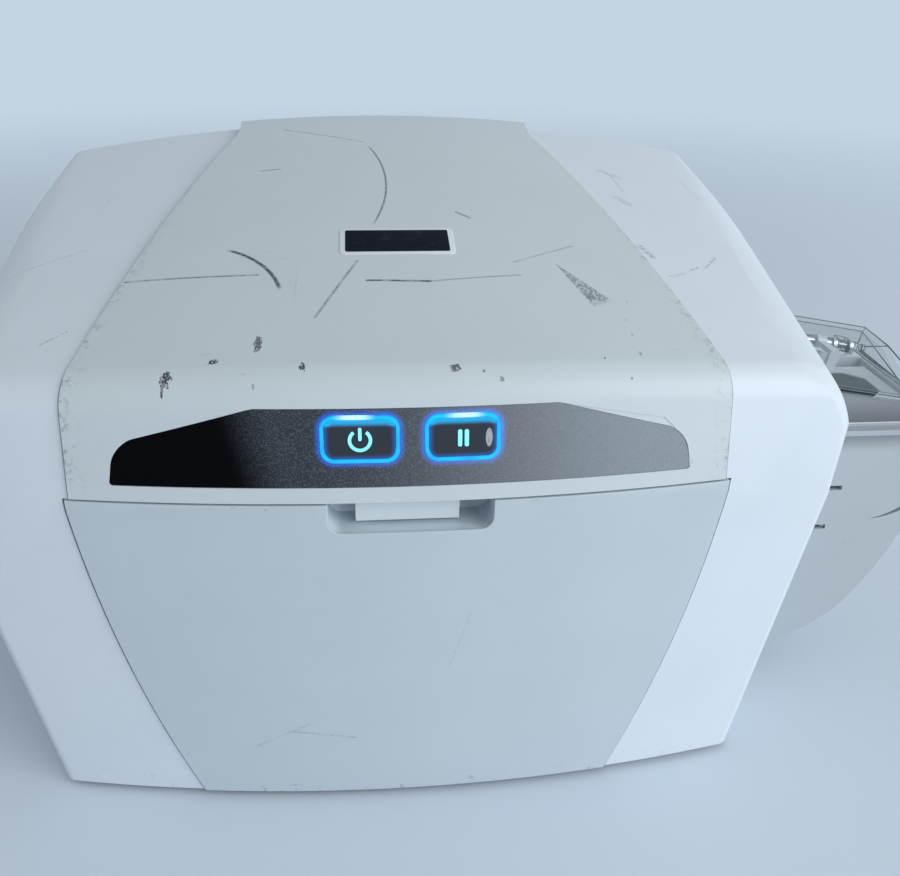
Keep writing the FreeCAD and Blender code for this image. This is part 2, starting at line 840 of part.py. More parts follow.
def side_plate(y):
    """Steel plate with a tower for the ribbon spools and a deep notch for the print head."""
    points = [
        (plate_left_x, pan_top_z),
        (plate_right_x, pan_top_z),
        (plate_right_x, plate_low_top - plate_corner),
        (plate_right_x - plate_corner, plate_low_top),
        (tower_half + plate_corner, plate_low_top),
        (tower_half, plate_low_top + plate_corner),
        (tower_half, plate_high_top),
        (notch_half, plate_high_top),
        (notch_half, notch_z),
        (-notch_half, notch_z),
        (-notch_half, plate_high_top),
        (-tower_half, plate_high_top),
        (-tower_half, plate_low_top + plate_corner),
        (-tower_half - plate_corner, plate_low_top),
        (plate_left_x + plate_corner, plate_low_top),
        (plate_left_x, plate_low_top - plate_corner),
    ]
    plate = slab_y(points, y)
    through = (y[0] - plate_thick, y[1] + plate_thick)
    cuts = [rod_y(x, roller_z, bush_radius, through) for x in roller_places]
    for x in (-roller_pitch, roller_pitch):
        cuts.append(rod_y(x, pinch_z, pinch_axle_radius + running_gap, through))
    cuts.append(rod_y(flap_pivot_x, flap_z, flap_pin_radius + running_gap, through))
    cuts.append(spool_slot(spool_reach, through))
    left_window = (plate_left_x + plate_flange, -motor_side)
    right_window = (motor_side, plate_right_x - 2 * plate_flange)
    right_window_top = tie_places[3][1] - plate_flange
    cuts.append(rounded_y(left_window, (window_low_z, step_z), plate_corner, through))
    cuts.append(rounded_y(right_window, (window_low_z, right_window_top), plate_corner, through))
    return plate, cuts


def front_plate():
    y = (front_plate_y - plate_thick, front_plate_y)
    plate, cuts = side_plate(y)
    through = (y[0] - plate_thick, y[1] + plate_thick)
    cuts.append(spool_slot(-spool_reach, through))
    foot_z = (pan_top_z, pan_top_z + plate_thick)
    flange = block((plate_left_x, plate_right_x), (y[0] - plate_flange, y[0]), foot_z)
    return fuse([plate, flange]).cut(cuts)


def rear_plate():
    """The drive-side plate, with the studs of the idlers and of the reduction wheel."""
    y = (rear_plate_y, rear_plate_y + plate_thick)
    plate, cuts = side_plate(y)
    through = (y[0] - plate_thick, y[1] + plate_thick)
    cuts.append(rod_y(-spool_reach, spool_z, bush_radius, through))
    cuts.append(rod_y(0, motor_z, motor_collar_radius, through))
    foot_z = (pan_top_z, pan_top_z + plate_thick)
    flange = block((plate_left_x, plate_right_x), (y[1], y[1] + plate_flange), foot_z)
    stud_y = (y[0], near_plane[1] + gear_stand_off)
    studs = [rod_y(x, roller_z, shaft_radius, stud_y) for x in (-idler_reach, idler_reach)]
    studs.append(rod_y(0, step_z, shaft_radius, (y[0], far_plane[1] + gear_stand_off)))
    return fuse([fuse([plate, flange]).cut(cuts)] + studs)


def tie_rods():
    """Spacer rods that hold the two plates apart."""
    return group([rod_y(x, z, tie_radius, (front_plate_y, rear_plate_y)) for x, z in tie_places])


def bush(x, z, y):
    """Plain bush pressed in a plate, a little proud of it on both sides."""
    sleeve = rod_y(x, z, bush_radius, (y[0] - bush_proud, y[1] + bush_proud))
    return sleeve.cut(rod_y(x, z, shaft_radius + running_gap, (y[0] - plate_thick, y[1] + plate_thick)))


def roller_bushes():
    front = (front_plate_y - plate_thick, front_plate_y)
    rear = (rear_plate_y, rear_plate_y + plate_thick)
    bushes = [bush(x, roller_z, y) for x in roller_places for y in (front, rear)]
    return group(bushes + [bush(-spool_reach, spool_z, rear)])


# Rollers: steel shafts with rubber sleeves
sleeve_half = 29.0
shaft_end = 1.5
pinch_sleeve_width = 16.0
across_plates = (front_plate_y - plate_thick - shaft_end, rear_plate_y + plate_thick + shaft_end)


def roller(x, rear_end):
    """A roller whose rear end carries gears up to the given face."""
    shaft = rod_y(x, roller_z, shaft_radius, (across_plates[0], rear_end + shaft_end))
    sleeve = rod_y(x, roller_z, roller_radius, span(track_y, 2 * sleeve_half))
    return fuse([shaft, sleeve])


def pinch_roller(x):
    """Upper roller: an axle with two narrow tyres."""
    axle = rod_y(x, pinch_z, pinch_axle_radius, across_plates)
    tyres = []
    for side in (-1, 1):
        middle = track_y + side * pinch_sleeve_width
        tyres.append(rod_y(x, pinch_z, pinch_radius, span(middle, pinch_sleeve_width)))
    return fuse([axle] + tyres)


def gear(teeth, width, bore, x, z, y0, phase):
    """Spur gear with straight-flanked teeth; the phase turns its first tooth from the X axis."""
    pitch = gear_module * teeth / 2
    tip = pitch + gear_module * addendum_share
    root = pitch - gear_module * dedendum_share
    tip_half = gear_module * tip_half_share / tip
    root_half = gear_module * root_half_share / root
    points = []
    for i in range(teeth):
        middle = phase + 2 * math.pi * i / teeth
        for radius, turn in ((root, -root_half), (tip, -tip_half), (tip, tip_half), (root, root_half)):
            points.append((x + radius * math.cos(middle + turn), z + radius * math.sin(middle + turn)))
    body = slab_y(points, (y0, y0 + width))
    return body.cut(rod_y(x, z, bore, (y0 - width, y0 + 2 * width)))


def mesh_phase(teeth_a, phase_a, teeth_b, direction):
    """Phase of gear b, seen from gear a in the given direction, with its gap on a's tooth."""
    part = ((direction - phase_a) * teeth_a / (2 * math.pi)) % 1.0
    return direction + math.pi - (0.5 - part) * 2 * math.pi / teeth_b


platen_phase = 0.0
right_idler_phase = mesh_phase(roller_teeth, platen_phase, idler_teeth, 0.0)
right_gear_phase = mesh_phase(idler_teeth, right_idler_phase, roller_teeth, 0.0)
left_idler_phase = mesh_phase(roller_teeth, platen_phase, idler_teeth, math.pi)
left_gear_phase = mesh_phase(idler_teeth, left_idler_phase, roller_teeth, math.pi)
step_phase = mesh_phase(roller_teeth, platen_phase, step_teeth, -math.pi / 2)
pinion_phase = mesh_phase(wheel_teeth, step_phase, pinion_teeth, -math.pi / 2)


def roller_gear(x, phase):
    """Gear fixed on a roller's end."""
    return gear(roller_teeth, gear_width, shaft_radius, x, roller_z, near_plane[0], phase)


def idler_gear(x, phase):
    """Gear that turns freely on a stud of the rear plate."""
    return gear(idler_teeth, gear_width, shaft_radius + running_gap, x, roller_z, near_plane[0], phase)


def reduction_gear():
    """Two-step wheel: the small step drives the platen, the large one takes the motor."""
    bore = shaft_radius + running_gap
    step = gear(step_teeth, gear_width + plane_gap, bore, 0, step_z, near_plane[0], step_phase)
    wheel = gear(wheel_teeth, gear_width, bore, 0, step_z, far_plane[0], step_phase)
    return fuse([step, wheel])


# Drive motor, bolted to the inside of the rear plate
motor_corner = 5.0
motor_shaft_radius = 2.5
motor_collar_depth = 2.0
motor_cap = 8.0
motor_waist = 1.2


def drive_motor():
    y = (rear_plate_y - motor_length, rear_plate_y)
    body = slab_y(eight_sided(0, motor_z, motor_side / 2, motor_corner), y)
    waist_y = (y[0] + motor_cap, y[1] - motor_cap)
    waist = slab_y(eight_sided(0, motor_z, motor_side / 2 - motor_waist, motor_corner), waist_y)
    band = block(span(0, 2 * motor_side), waist_y, span(motor_z, 2 * motor_side)).cut(waist)
    collar = rod_y(0, motor_z, motor_collar_radius - fit_gap, (y[1], y[1] + motor_collar_depth))
    bore = rod_y(0, motor_z, motor_shaft_radius + running_gap, (y[1] - motor_cap, y[1] + motor_cap))
    return body.cut(band).fuse(collar).removeSplitter().cut(bore)


def motor_pinion():
    """Pinion and its shaft, which runs back into the motor."""
    shaft_y = (rear_plate_y - motor_cap + fit_gap, far_plane[1] + shaft_end)
    shaft = rod_y(0, motor_z, motor_shaft_radius, shaft_y)
    wheel = gear(pinion_teeth, gear_width, motor_shaft_radius / 2, 0, motor_z, far_plane[0], pinion_phase)
    return fuse([shaft, wheel])


# Ribbon drive: a hub that turns the take-up spool, its gear and a small motor behind the plate
hub_teeth = 28
ribbon_pinion_teeth = 12
hub_gear_radius = gear_module * hub_teeth / 2
ribbon_pinion_radius = gear_module * ribbon_pinion_teeth / 2
ribbon_motor_x = -spool_reach - hub_gear_radius - ribbon_pinion_radius
ribbon_motor_radius = 12.0
ribbon_motor_length = 30.0
ribbon_shaft_radius = 1.5
ribbon_bracket_thick = 1.5
dog_length = 1.6
dog_slot = 1.6
hub_phase = 0.0
ribbon_pinion_phase = mesh_phase(hub_teeth, hub_phase, ribbon_pinion_teeth, math.pi)

# Ribbon cartridge: two end frames, guide rods and the spools
cartridge_half = 33.0
cartridge_thick = 3.0
cartridge_disc = 13.0
cartridge_bar_z = (113.0, 116.8)
cartridge_bar_half = 26.0
guide_rod_x = 20.0
guide_rod_z = 116.3
guide_rod_radius = 2.4
handle_rod_radius = 2.5
core_radius = 7.0
supply_radius = 19.0
take_up_radius = 11.0
handle_rod_x = spool_reach + supply_radius + core_radius / 2
film_width = 56.0
film_thick = 0.3
core_journal = 4.0
film_turn_shares = [0.0, 0.35, 0.7, 1.0]
cartridge_front_y = track_y - cartridge_half
cartridge_rear_y = track_y + cartridge_half


def take_up_hub():
    """Spool drive: a shaft with its gear, and a tongue that turns the take-up spool."""
    dog_y = cartridge_rear_y + cartridge_thick + fit_gap
    shaft = rod_y(-spool_reach, spool_z, shaft_radius, (dog_y, near_plane[1] + shaft_end))
    wheel = gear(hub_teeth, gear_width, shaft_radius / 2, -spool_reach, spool_z, near_plane[0], hub_phase)
    tongue = block(
        span(-spool_reach, dog_slot),
        (dog_y - dog_length, dog_y + fit_gap),
        span(spool_z, 2 * shaft_radius - dog_slot),
    )
    return fuse([shaft, wheel, tongue])


def ribbon_motor():
    """Small can motor on a bridge bracket that stands off the rear plate."""
    start = near_plane[1] + gear_stand_off
    can_y = (start + ribbon_bracket_thick, start + ribbon_bracket_thick + ribbon_motor_length)
    can = rod_y(ribbon_motor_x, spool_z, ribbon_motor_radius, can_y)
    plate = block(
        span(ribbon_motor_x, 2 * ribbon_motor_radius + ribbon_bracket_thick),
        (start, start + ribbon_bracket_thick),
        (plate_low_top - 2 * tie_radius, spool_z + ribbon_motor_radius),
    )
    post_z = plate_low_top - tie_radius
    posts = [
        rod_y(x, post_z, tie_radius, (rear_plate_y + plate_thick, start))
        for x in span(ribbon_motor_x, ribbon_motor_radius)
    ]
    hole_radius = ribbon_shaft_radius + running_gap
    shaft_hole = rod_y(ribbon_motor_x, spool_z, hole_radius, (start - gear_width, start + motor_cap))
    return fuse([can, plate] + posts).cut(shaft_hole)


def ribbon_pinion():
    start = near_plane[0]
    shaft_y = (start, near_plane[1] + gear_stand_off + motor_cap - fit_gap)
    shaft = rod_y(ribbon_motor_x, spool_z, ribbon_shaft_radius, shaft_y)
    bore = ribbon_shaft_radius / 2
    wheel = gear(
        ribbon_pinion_teeth, gear_width, bore, ribbon_motor_x, spool_z, start, ribbon_pinion_phase,
    )
    return fuse([shaft, wheel])


def cartridge_end(y):
    """U-shaped end frame: two discs, arms down to a low bar, and the notch between them for the head."""
    pieces = []
    for x in (-spool_reach, spool_reach):
        side = 1 if x > 0 else -1
        pieces.append(rod_y(x, spool_z, cartridge_disc, y))
        pieces.append(slab_y([
            (side * (spool_reach - cartridge_disc), spool_z),
            (side * (spool_reach + cartridge_disc), spool_z),
            (side * cartridge_bar_half, cartridge_bar_z[0]),
            (side * (guide_rod_x - guide_rod_radius), cartridge_bar_z[0]),
            (side * (guide_rod_x - guide_rod_radius), cartridge_bar_z[1]),
        ], y))
        arm_x = (spool_reach + cartridge_disc / 2, handle_rod_x + handle_rod_radius)
        arm = block(arm_x, y, span(spool_z, 4 * handle_rod_radius))
        pieces.append(arm if side > 0 else mirrored(arm))
    pieces.append(block((-cartridge_bar_half, cartridge_bar_half), y, cartridge_bar_z))
    return fuse(pieces)


def ribbon_cartridge():
    front = (cartridge_front_y - cartridge_thick, cartridge_front_y)
    rear = (cartridge_rear_y, cartridge_rear_y + cartridge_thick)
    long = (front[0], rear[1])
    rods = [rod_y(x, guide_rod_z, guide_rod_radius, long) for x in (-guide_rod_x, guide_rod_x)]
    rods += [rod_y(x, spool_z, handle_rod_radius, long) for x in (-handle_rod_x, handle_rod_x)]
    bosses = [rod_y(spool_reach, spool_z, boss_radius, (rear[1], across_plates[1]))]
    bores = []
    for x in (-spool_reach, spool_reach):
        bosses.append(rod_y(x, spool_z, boss_radius, (across_plates[0], front[0])))
        bore_y = (front[0] - cartridge_thick / 2, rear[1] + fit_gap)
        bores.append(rod_y(x, spool_z, core_journal + running_gap, bore_y))
    return fuse([cartridge_end(front), cartridge_end(rear)] + rods + bosses).cut(bores)


def spool(x, roll_radius):
    """Core with a journal at each end and the film wound on it."""
    ends_y = (cartridge_front_y - cartridge_thick, cartridge_rear_y + cartridge_thick - fit_gap)
    journal = rod_y(x, spool_z, core_journal, ends_y)
    core = rod_y(x, spool_z, core_radius, (cartridge_front_y + fit_gap, cartridge_rear_y - fit_gap))
    roll = rod_y(x, spool_z, roll_radius, span(track_y, film_width))
    slot = block(
        span(x, dog_slot + 2 * fit_gap),
        (cartridge_rear_y + cartridge_thick - 2 * dog_length, cartridge_rear_y + 2 * cartridge_thick),
        span(spool_z, 2 * core_journal + fit_gap),
    )
    return fuse([journal, core, roll]).cut(slot)


def film_run(roll_radius, depth):
    """Points of one side of the web, from under the guide rod up to the roll that it leaves."""
    rod = guide_rod_radius + fit_gap + depth
    roll = roll_radius + fit_gap + film_thick - depth
    across = spool_reach - guide_rod_x
    up = spool_z - guide_rod_z
    lean = math.atan2(up, across) + math.asin((rod + roll) / math.hypot(across, up)) - math.pi / 2
    points = []
    for share in film_turn_shares:
        turn = -math.pi / 2 + share * (lean + math.pi / 2)
        points.append((guide_rod_x + rod * math.cos(turn), guide_rod_z + rod * math.sin(turn)))
    return points + [(spool_reach - roll * math.cos(lean), spool_z - roll * math.sin(lean))]


def ribbon_film():
    """The stretched web: from the supply roll round under both guide rods to the take-up roll."""
    sides = []
    for depth in (0.0, film_thick):
        supply = film_run(supply_radius, depth)
        take_up = [(-x, z) for x, z in film_run(take_up_radius, depth)]
        sides.append(take_up[::-1] + supply)
    return slab_y(sides[0] + sides[1][::-1], span(track_y, film_width - 2 * film_thick))


# Print head and its bracket, carried by the lid
head_strip_half = 4.0
head_half = 9.5
head_low_z = 114.6
head_strip_height = 1.8
head_top_z = 130.0
head_fin_count = 4
head_fin_gap = 2.4
head_fin_depth = 7.0
head_length = 57.0
bracket_thick = 1.5
carrier_drop = 14.0
carrier_thick = 2.5
carrier_half = 62.0
carrier_rear_gap = 6.0
carrier_rib_thick = 1.6


def print_head():
    """Heat sink with fins on top and the narrow print strip below."""
    y = span(track_y, head_length)
    strip_top = head_low_z + head_strip_height
    strip = block(span(0, 2 * head_strip_half), y, (head_low_z, strip_top))
    sink = slab_y([
        (-head_strip_half, strip_top),
        (head_strip_half, strip_top),
        (head_half, strip_top + head_strip_half),
        (head_half, head_top_z),
        (-head_half, head_top_z),
        (-head_half, strip_top + head_strip_half),
    ], y)
    pitch = 2 * head_half / (head_fin_count + 1)
    gap_y = span(track_y, head_length + 2 * head_fin_gap)
    gap_z = (head_top_z - head_fin_depth, head_top_z + head_fin_depth)
    gaps = []
    for i in range(head_fin_count):
        x = -head_half + (i + 1) * pitch
        gaps.append(block(span(x, head_fin_gap), gap_y, gap_z))
    return fuse([strip, sink]).cut(gaps)


def lid_carrier():
    """Inner moulding under the lid's roof: a sheet parallel to it, stiffened by ribs that reach the roof."""
    y = (front_y + 2 * brow_setback, hinge_y - hinge_knuckle_radius - carrier_rear_gap)
    area = block((-carrier_half, carrier_half), y, (brow_z, roof_rear_z + overrun))
    under = sunk(lid_inner_form, 0.0, carrier_drop + carrier_thick)
    sheet = sunk(lid_inner_form, 0.0, carrier_drop).cut(under).common(area)
    zone = sunk(lid_inner_form, 0.0, fit_gap).cut(sunk(lid_inner_form, 0.0, carrier_drop + carrier_thick / 2))
    z = (brow_z, roof_rear_z + overrun)
    edge = carrier_half - carrier_rib_thick / 2
    ribs = [block(span(x, carrier_rib_thick), y, z) for x in (-edge, 0.0, edge)]
    for end in (y[0] + carrier_rib_thick / 2, y[1] - carrier_rib_thick / 2):
        ribs.append(block((-carrier_half, carrier_half), span(end, carrier_rib_thick), z))
    return fuse([sheet] + [zone.common(rib) for rib in ribs])


def head_bracket():
    """Bent sheet: a base over the head and two cheeks up to the carrier, with a flange on each."""
    under = sunk(lid_inner_form, 0.0, carrier_drop + carrier_thick)
    y = span(track_y, head_length)
    x_out = head_half + running_gap + bracket_thick
    cheeks = []
    for side in (-1, 1):
        x = tuple(sorted((side * (x_out - bracket_thick), side * x_out)))
        cheeks.append(block(x, y, (head_top_z - head_fin_depth, roof_rear_z)).common(under))
        flange_x = tuple(sorted((side * (x_out - bracket_thick), side * (x_out + plate_flange))))
        flange = block(flange_x, y, (brow_z, roof_rear_z)).common(under)
        cheeks.append(flange.cut(sunk(lid_inner_form, 0.0, carrier_drop + carrier_thick + bracket_thick)))
    base = block((-x_out, x_out), y, (head_top_z, head_top_z + bracket_thick))
    return fuse([base] + cheeks)


def hinge_pins():
    length = knuckle_width + 2 * ear_thick + 2 * shaft_end
    places = (-hinge_reach, hinge_reach)
    return group([rod_x(hinge_y, hinge_z, hinge_pin_radius, span(x, length)) for x in places])


# Hinge brackets: a pair of ears each side, on a foot against the rear panel
ear_thick = 4.0
ear_gap = 0.4
ear_front = 0.6
bracket_low_z = 205.0
bracket_step_z = 221.0


def hinge_brackets():
    brackets = []
    for x in (-hinge_reach, hinge_reach):
        ears = []
        for side in (-1, 1):
            middle = x + side * (knuckle_width / 2 + ear_gap + ear_thick / 2)
            eye = hinge_ear(middle, ear_thick)
            column = slab_x([
                (hinge_y - hinge_knuckle_radius, hinge_z),
                (hinge_y + ear_front, hinge_z),
                (hinge_y + ear_front, bracket_step_z),
                (rear_y - wall, bracket_step_z - ear_thick),
                (rear_y - wall, bracket_low_z),
                (hinge_y - hinge_knuckle_radius, bracket_low_z),
            ], span(middle, ear_thick))
            ears += [eye, column]
        width = knuckle_width + 2 * ear_gap + 2 * ear_thick
        foot_z = (bracket_low_z, bracket_step_z - 2 * ear_thick)
        foot = block(span(x, width), (rear_y - wall - ear_thick, rear_y - wall), foot_z)
        bore = rod_x(hinge_y, hinge_z, hinge_pin_radius, span(x, 2 * width))
        brackets.append(fuse(ears + [foot]).cut(bore))
    return group(brackets)


# Card guides between the rollers, and the flap that turns printed cards down to the bin
guide_thick = 1.2
guide_gap = 1.5
guide_low = 1.4
card_side_play = 1.0
flap_length = 26.0
flap_thick = 1.6


def card_guides():
    z = (card_under_z - guide_low - guide_thick, card_under_z - guide_low)
    reach = roller_radius + guide_gap
    spans = [
        (plate_left_x + tie_radius, -roller_pitch - reach),
        (-roller_pitch + reach, -reach),
        (reach, roller_pitch - reach),
        (roller_pitch + reach, cleaner_x - reach),
    ]
    return group([block(x, (front_plate_y, rear_plate_y), z) for x in spans])


def exit_flap():
    """Thin blade on a cross pin, swung down to send a card out below."""
    y = span(track_y, card_width + 2 * card_side_play)
    pin = rod_y(flap_pivot_x, flap_z, flap_pin_radius, across_plates)
    blade = slab_y([
        (flap_pivot_x, flap_z + flap_thick / 2),
        (flap_pivot_x + flap_length, flap_z + flap_thick / 2),
        (flap_pivot_x + flap_length, flap_z),
        (flap_pivot_x, flap_z - flap_thick / 2),
    ], y)
    return fuse([pin, blade])


# Card hopper on the right, placed from the body's widest line: the bay that holds blank cards, open on top
bay_inward = 28.0
bay_outward = 60.6
bay_x = (ridge_half_width - bay_inward, ridge_half_width + bay_outward)
bay_y = (-40.5, 16.5)
bay_wall = 2.5
bay_floor = 2.5
card_float = 0.4
bay_floor_z = card_under_z - card_float
rim_ref_out = 22.0
rim_ref_x = ridge_half_width + rim_ref_out
rim_ref_z = 152.4
rim_slope_deg = 10.0
lip_z = (134.4, 137.0)
lip_out = 5.0
lip_inward = 14.0
lip_left_x = ridge_half_width - lip_inward
pick_inward = 21.0
pick_x = ridge_half_width - pick_inward
pick_slot_half = 10.0
pulley_radius = 6.0
belt_thick = 1.2
belt_width = 5.0
belt_tooth_pitch = 6.5
pulley_flange = 1.0
bin_thick = 2.2
bin_y = (-46.4, 21.5)


def rim_z(x):
    """Height of the bay's rim, which falls to the right."""
    return rim_ref_z - (x - rim_ref_x) * math.tan(math.radians(rim_slope_deg))


def hopper_bay():
    x = (bay_x[0] - bay_wall, bay_x[1] + bay_wall)
    y = (bay_y[0] - bay_wall, bay_y[1] + bay_wall)
    low = bay_floor_z - bay_floor
    box = slab_y([(x[0], low), (x[1], low), (x[1], rim_z(x[1])), (x[0], rim_z(x[0]))], y)
    room = block(bay_x, bay_y, (bay_floor_z, ridge_z + overrun))
    card_slot = block(
        (x[0] - bay_wall, bay_x[0] + bay_wall),
        span(track_y, card_width + card_side_play),
        (bay_floor_z - bay_wall, card_top_z + 2 * card_thick),
    )
    pick_slot = block(
        (x[0] - bay_wall, pick_x + pick_slot_half),
        span(track_y, 2 * (sleeve_half + card_side_play)),
        (low - bay_floor, bay_floor_z + running_gap),
    )
    lip = block((lip_left_x, x[1] + lip_out), (y[0] - lip_out, y[1]), lip_z)
    lip = lip.cut(block(
        (lip_left_x - bay_wall, x[1] - running_gap),
        (y[0] + running_gap, y[1] + bay_wall),
        (lip_z[0] - bay_wall, lip_z[1] + bay_wall),
    ))
    cheek_z = (roller_z - 2 * bush_radius, card_top_z + plate_flange)
    cheek = block((x[0], bay_x[0]), (front_plate_y, rear_plate_y), cheek_z)
    reach = (plate_right_x - plate_corner, x[0])
    arms = [
        block(reach, span_y, (low, cheek_z[1]))
        for span_y in ((front_plate_y, front_plate_y + bay_wall), (rear_plate_y - bay_wall, rear_plate_y))
    ]
    ears = [
        block((x[0], pick_x + pick_slot_half), span_y, (cheek_z[0], bay_floor_z))
        for span_y in ((y[0], bay_y[0]), (bay_y[1], y[1]))
    ]
    sweep_y = span(track_y, 2 * (sleeve_half + card_side_play))
    sweep = rod_y(pick_x, roller_z, roller_radius + guide_gap, sweep_y)
    bore = rod_y(pick_x, roller_z, shaft_radius + running_gap, (y[0] - bay_wall, y[1] + bay_wall))
    return fuse([box.cut(room), lip, cheek] + arms + ears).cut([card_slot, pick_slot, sweep, bore])


def pick_roller():
    """Roller under the stack, with its belt pulley behind the bay."""
    shaft_y = (bay_y[0] - bay_wall - fit_gap, belt_plane()[1] + pulley_flange + shaft_end)
    shaft = rod_y(pick_x, roller_z, shaft_radius, shaft_y)
    sleeve = rod_y(pick_x, roller_z, roller_radius, span(track_y, 2 * (sleeve_half - card_side_play)))
    return fuse([shaft, sleeve] + belt_pulley(pick_x))


def belt_plane():
    middle = sum(far_plane) / 2
    return span(middle, belt_width)


def belt_pulley(x):
    """Grooved pulley with a flange each side of the belt."""
    y = belt_plane()
    wheel = rod_y(x, roller_z, pulley_radius, (y[0] - pulley_flange, y[1] + pulley_flange))
    flanges = [
        rod_y(x, roller_z, pulley_radius + belt_thick, (y[0] - pulley_flange - fit_gap, y[0] - fit_gap)),
        rod_y(x, roller_z, pulley_radius + belt_thick, (y[1] + fit_gap, y[1] + pulley_flange + fit_gap)),
    ]
    return [wheel] + flanges


def pick_belt():
    """Toothed belt from the entry roller to the pick roller."""
    y = belt_plane()
    inner = pulley_radius + fit_gap

    def track(radius):
        return fuse([
            rod_y(roller_pitch, roller_z, radius, y),
            rod_y(pick_x, roller_z, radius, y),
            block((roller_pitch, pick_x), y, (roller_z - radius, roller_z + radius)),
        ])

    belt = track(inner + belt_thick).cut(track(inner))
    teeth = []
    count = int((pick_x - roller_pitch) / belt_tooth_pitch)
    pitch = (pick_x - roller_pitch) / count
    for i in range(1, count):
        for side in (-1, 1):
            z = span(roller_z + side * inner, belt_thick)
            teeth.append(block(span(roller_pitch + i * pitch, belt_thick), y, z))
    return fuse([belt] + teeth)


def entry_roller():
    """Right-hand transport roller, which also drives the belt."""
    return fuse([roller(roller_pitch, belt_plane()[1] + pulley_flange)] + belt_pulley(roller_pitch))


# Output bin under the bay: a deep scoop with a curved floor, drawn outwards from the widest line
bin_foot = (-22.0, 14.5)
bin_low = (9.0, 20.5)
bin_turn = (41.5, 43.0)
bin_side = (63.5, 86.0)
bin_right = 72.0
bin_top_z = 133.8
bin_left_gap = 1.2
bin_slots = [(2.0, 28.6, 107.3), (0.0, 24.6, 86.7)]
bin_slot_height = 2.2
bin_entry_z = (84.0, 107.0)
scoop_start = (45.3, 90.2)
scoop_middle = (55.0, 92.2)
scoop_end = (70.0, 103.0)
scoop_height = 3.0
take_out_z = (58.0, 122.0)
take_out_half = 17.0


def bin_outline(inset, y):
    def at(point):
        return Vector(ridge_half_width + point[0], y, point[1])

    left_top = Vector(side_x(bin_top_z) + bin_left_gap + inset, y, bin_top_z)
    foot = at((bin_foot[0] + inset, bin_foot[1] + inset))
    low = at((bin_low[0] - inset / 2, bin_low[1] + inset))
    turn = at((bin_turn[0] - inset * math.sin(math.pi / 4), bin_turn[1] + inset * math.cos(math.pi / 4)))
    side = at((bin_side[0] - inset, bin_side[1] + inset / 3))
    right = at((bin_right - inset, bin_top_z))
    return Part.Face(Part.Wire([
        Part.Arc(foot, low, turn).toShape(),
        Part.Arc(turn, side, right).toShape(),
        Part.LineSegment(right, left_top).toShape(),
        Part.LineSegment(left_top, foot).toShape(),
    ]))


def output_bin():
    outer = bin_outline(0.0, bin_y[0]).extrude(Vector(0, bin_y[1] - bin_y[0], 0))
    inner_y = (bin_y[0] + bin_thick, bin_y[1] - bin_thick)
    inner = bin_outline(bin_thick, inner_y[0]).extrude(Vector(0, inner_y[1] - inner_y[0], 0))
    mouth = block(
        (bay_x[0] - bay_wall - fit_gap, bay_x[1] + bay_wall + fit_gap),
        (bay_y[0] - bay_wall - fit_gap, bay_y[1] + bay_wall + fit_gap),
        (bay_floor_z - bay_floor - fit_gap, bin_top_z + overrun),
    )
    entry_x = (foot_half_width, side_x(bin_side[1]) + overrun / 4)
    entry = block(entry_x, span(track_y, card_width + 2 * card_side_play), bin_entry_z)
    front = (bin_y[0] - bin_thick, bin_y[0] + 2 * bin_thick)
    slots = []
    for start, end, z in bin_slots:
        x = (ridge_half_width + start, ridge_half_width + end)
        slots.append(block(x, front, span(z, bin_slot_height)))
    take_out_x = (ridge_half_width + bin_turn[0], ridge_half_width + bin_right + overrun)
    take_out = block(take_out_x, span(track_y, 2 * take_out_half), take_out_z)
    return outer.cut([inner, mouth, entry, scoop_slit(front), take_out] + slots)


def scoop_slit(y):
    """Curved slit that widens to the right, in the bin's front wall."""
    def at(point, up):
        return Vector(ridge_half_width + point[0], y[0], point[1] + up)

    tip = at(scoop_start, 0)
    low_end = at(scoop_end, 0)
    high_end = at(scoop_end, scoop_height)
    return Part.Face(Part.Wire([
        Part.Arc(tip, at(scoop_middle, 0), low_end).toShape(),
        Part.LineSegment(low_end, high_end).toShape(),
        Part.Arc(high_end, at(scoop_middle, scoop_height / 2), tip).toShape(),
    ])).extrude(Vector(0, y[1] - y[0], 0))


# Clear hood over the bay, hinged at the back
hood_y = (-43.0, 28.0)
hood_left = 3.5
hood_right = 64.5
hood_left_x = ridge_half_width + hood_left
hood_right_x = ridge_half_width + hood_right
hood_wall = 1.8
hood_lift = 0.6
hood_rear_height = 12.5
hood_middle_y = 4.0
hood_middle_height = 11.5
hood_front_y = -18.0
hood_front_height = 3.4
hood_pin_radius = 1.6
hood_barrel_radius = 3.2
hood_pin_y = 22.6
hood_lug_width = 6.0
hood_lug_insets = (10.5, 48.5)
hood_lug_places = [hood_left_x + inset for inset in hood_lug_insets]
hood_pin_z = rim_ref_z + hood_lift + hood_barrel_radius


def tilted(shape):
    """Lays a piece that was built level on the falling rim."""
    turned = shape.copy()
    turned.rotate(Vector(rim_ref_x, 0, rim_ref_z), Vector(0, 1, 0), rim_slope_deg)
    return turned


def hood_section(inset, drop):
    """Side view of the hood, drawn inwards, with its foot dropped below its rim."""
    z = rim_ref_z + hood_lift
    return [
        (hood_y[0] + inset, z - drop),
        (hood_y[0] + inset, z + hood_front_height - inset),
        (hood_front_y + inset / 2, z + hood_front_height - inset),
        (hood_middle_y + inset / 2, z + hood_middle_height - inset),
        (hood_y[1] - inset, z + hood_rear_height - inset),
        (hood_y[1] - inset, z - drop),
    ]


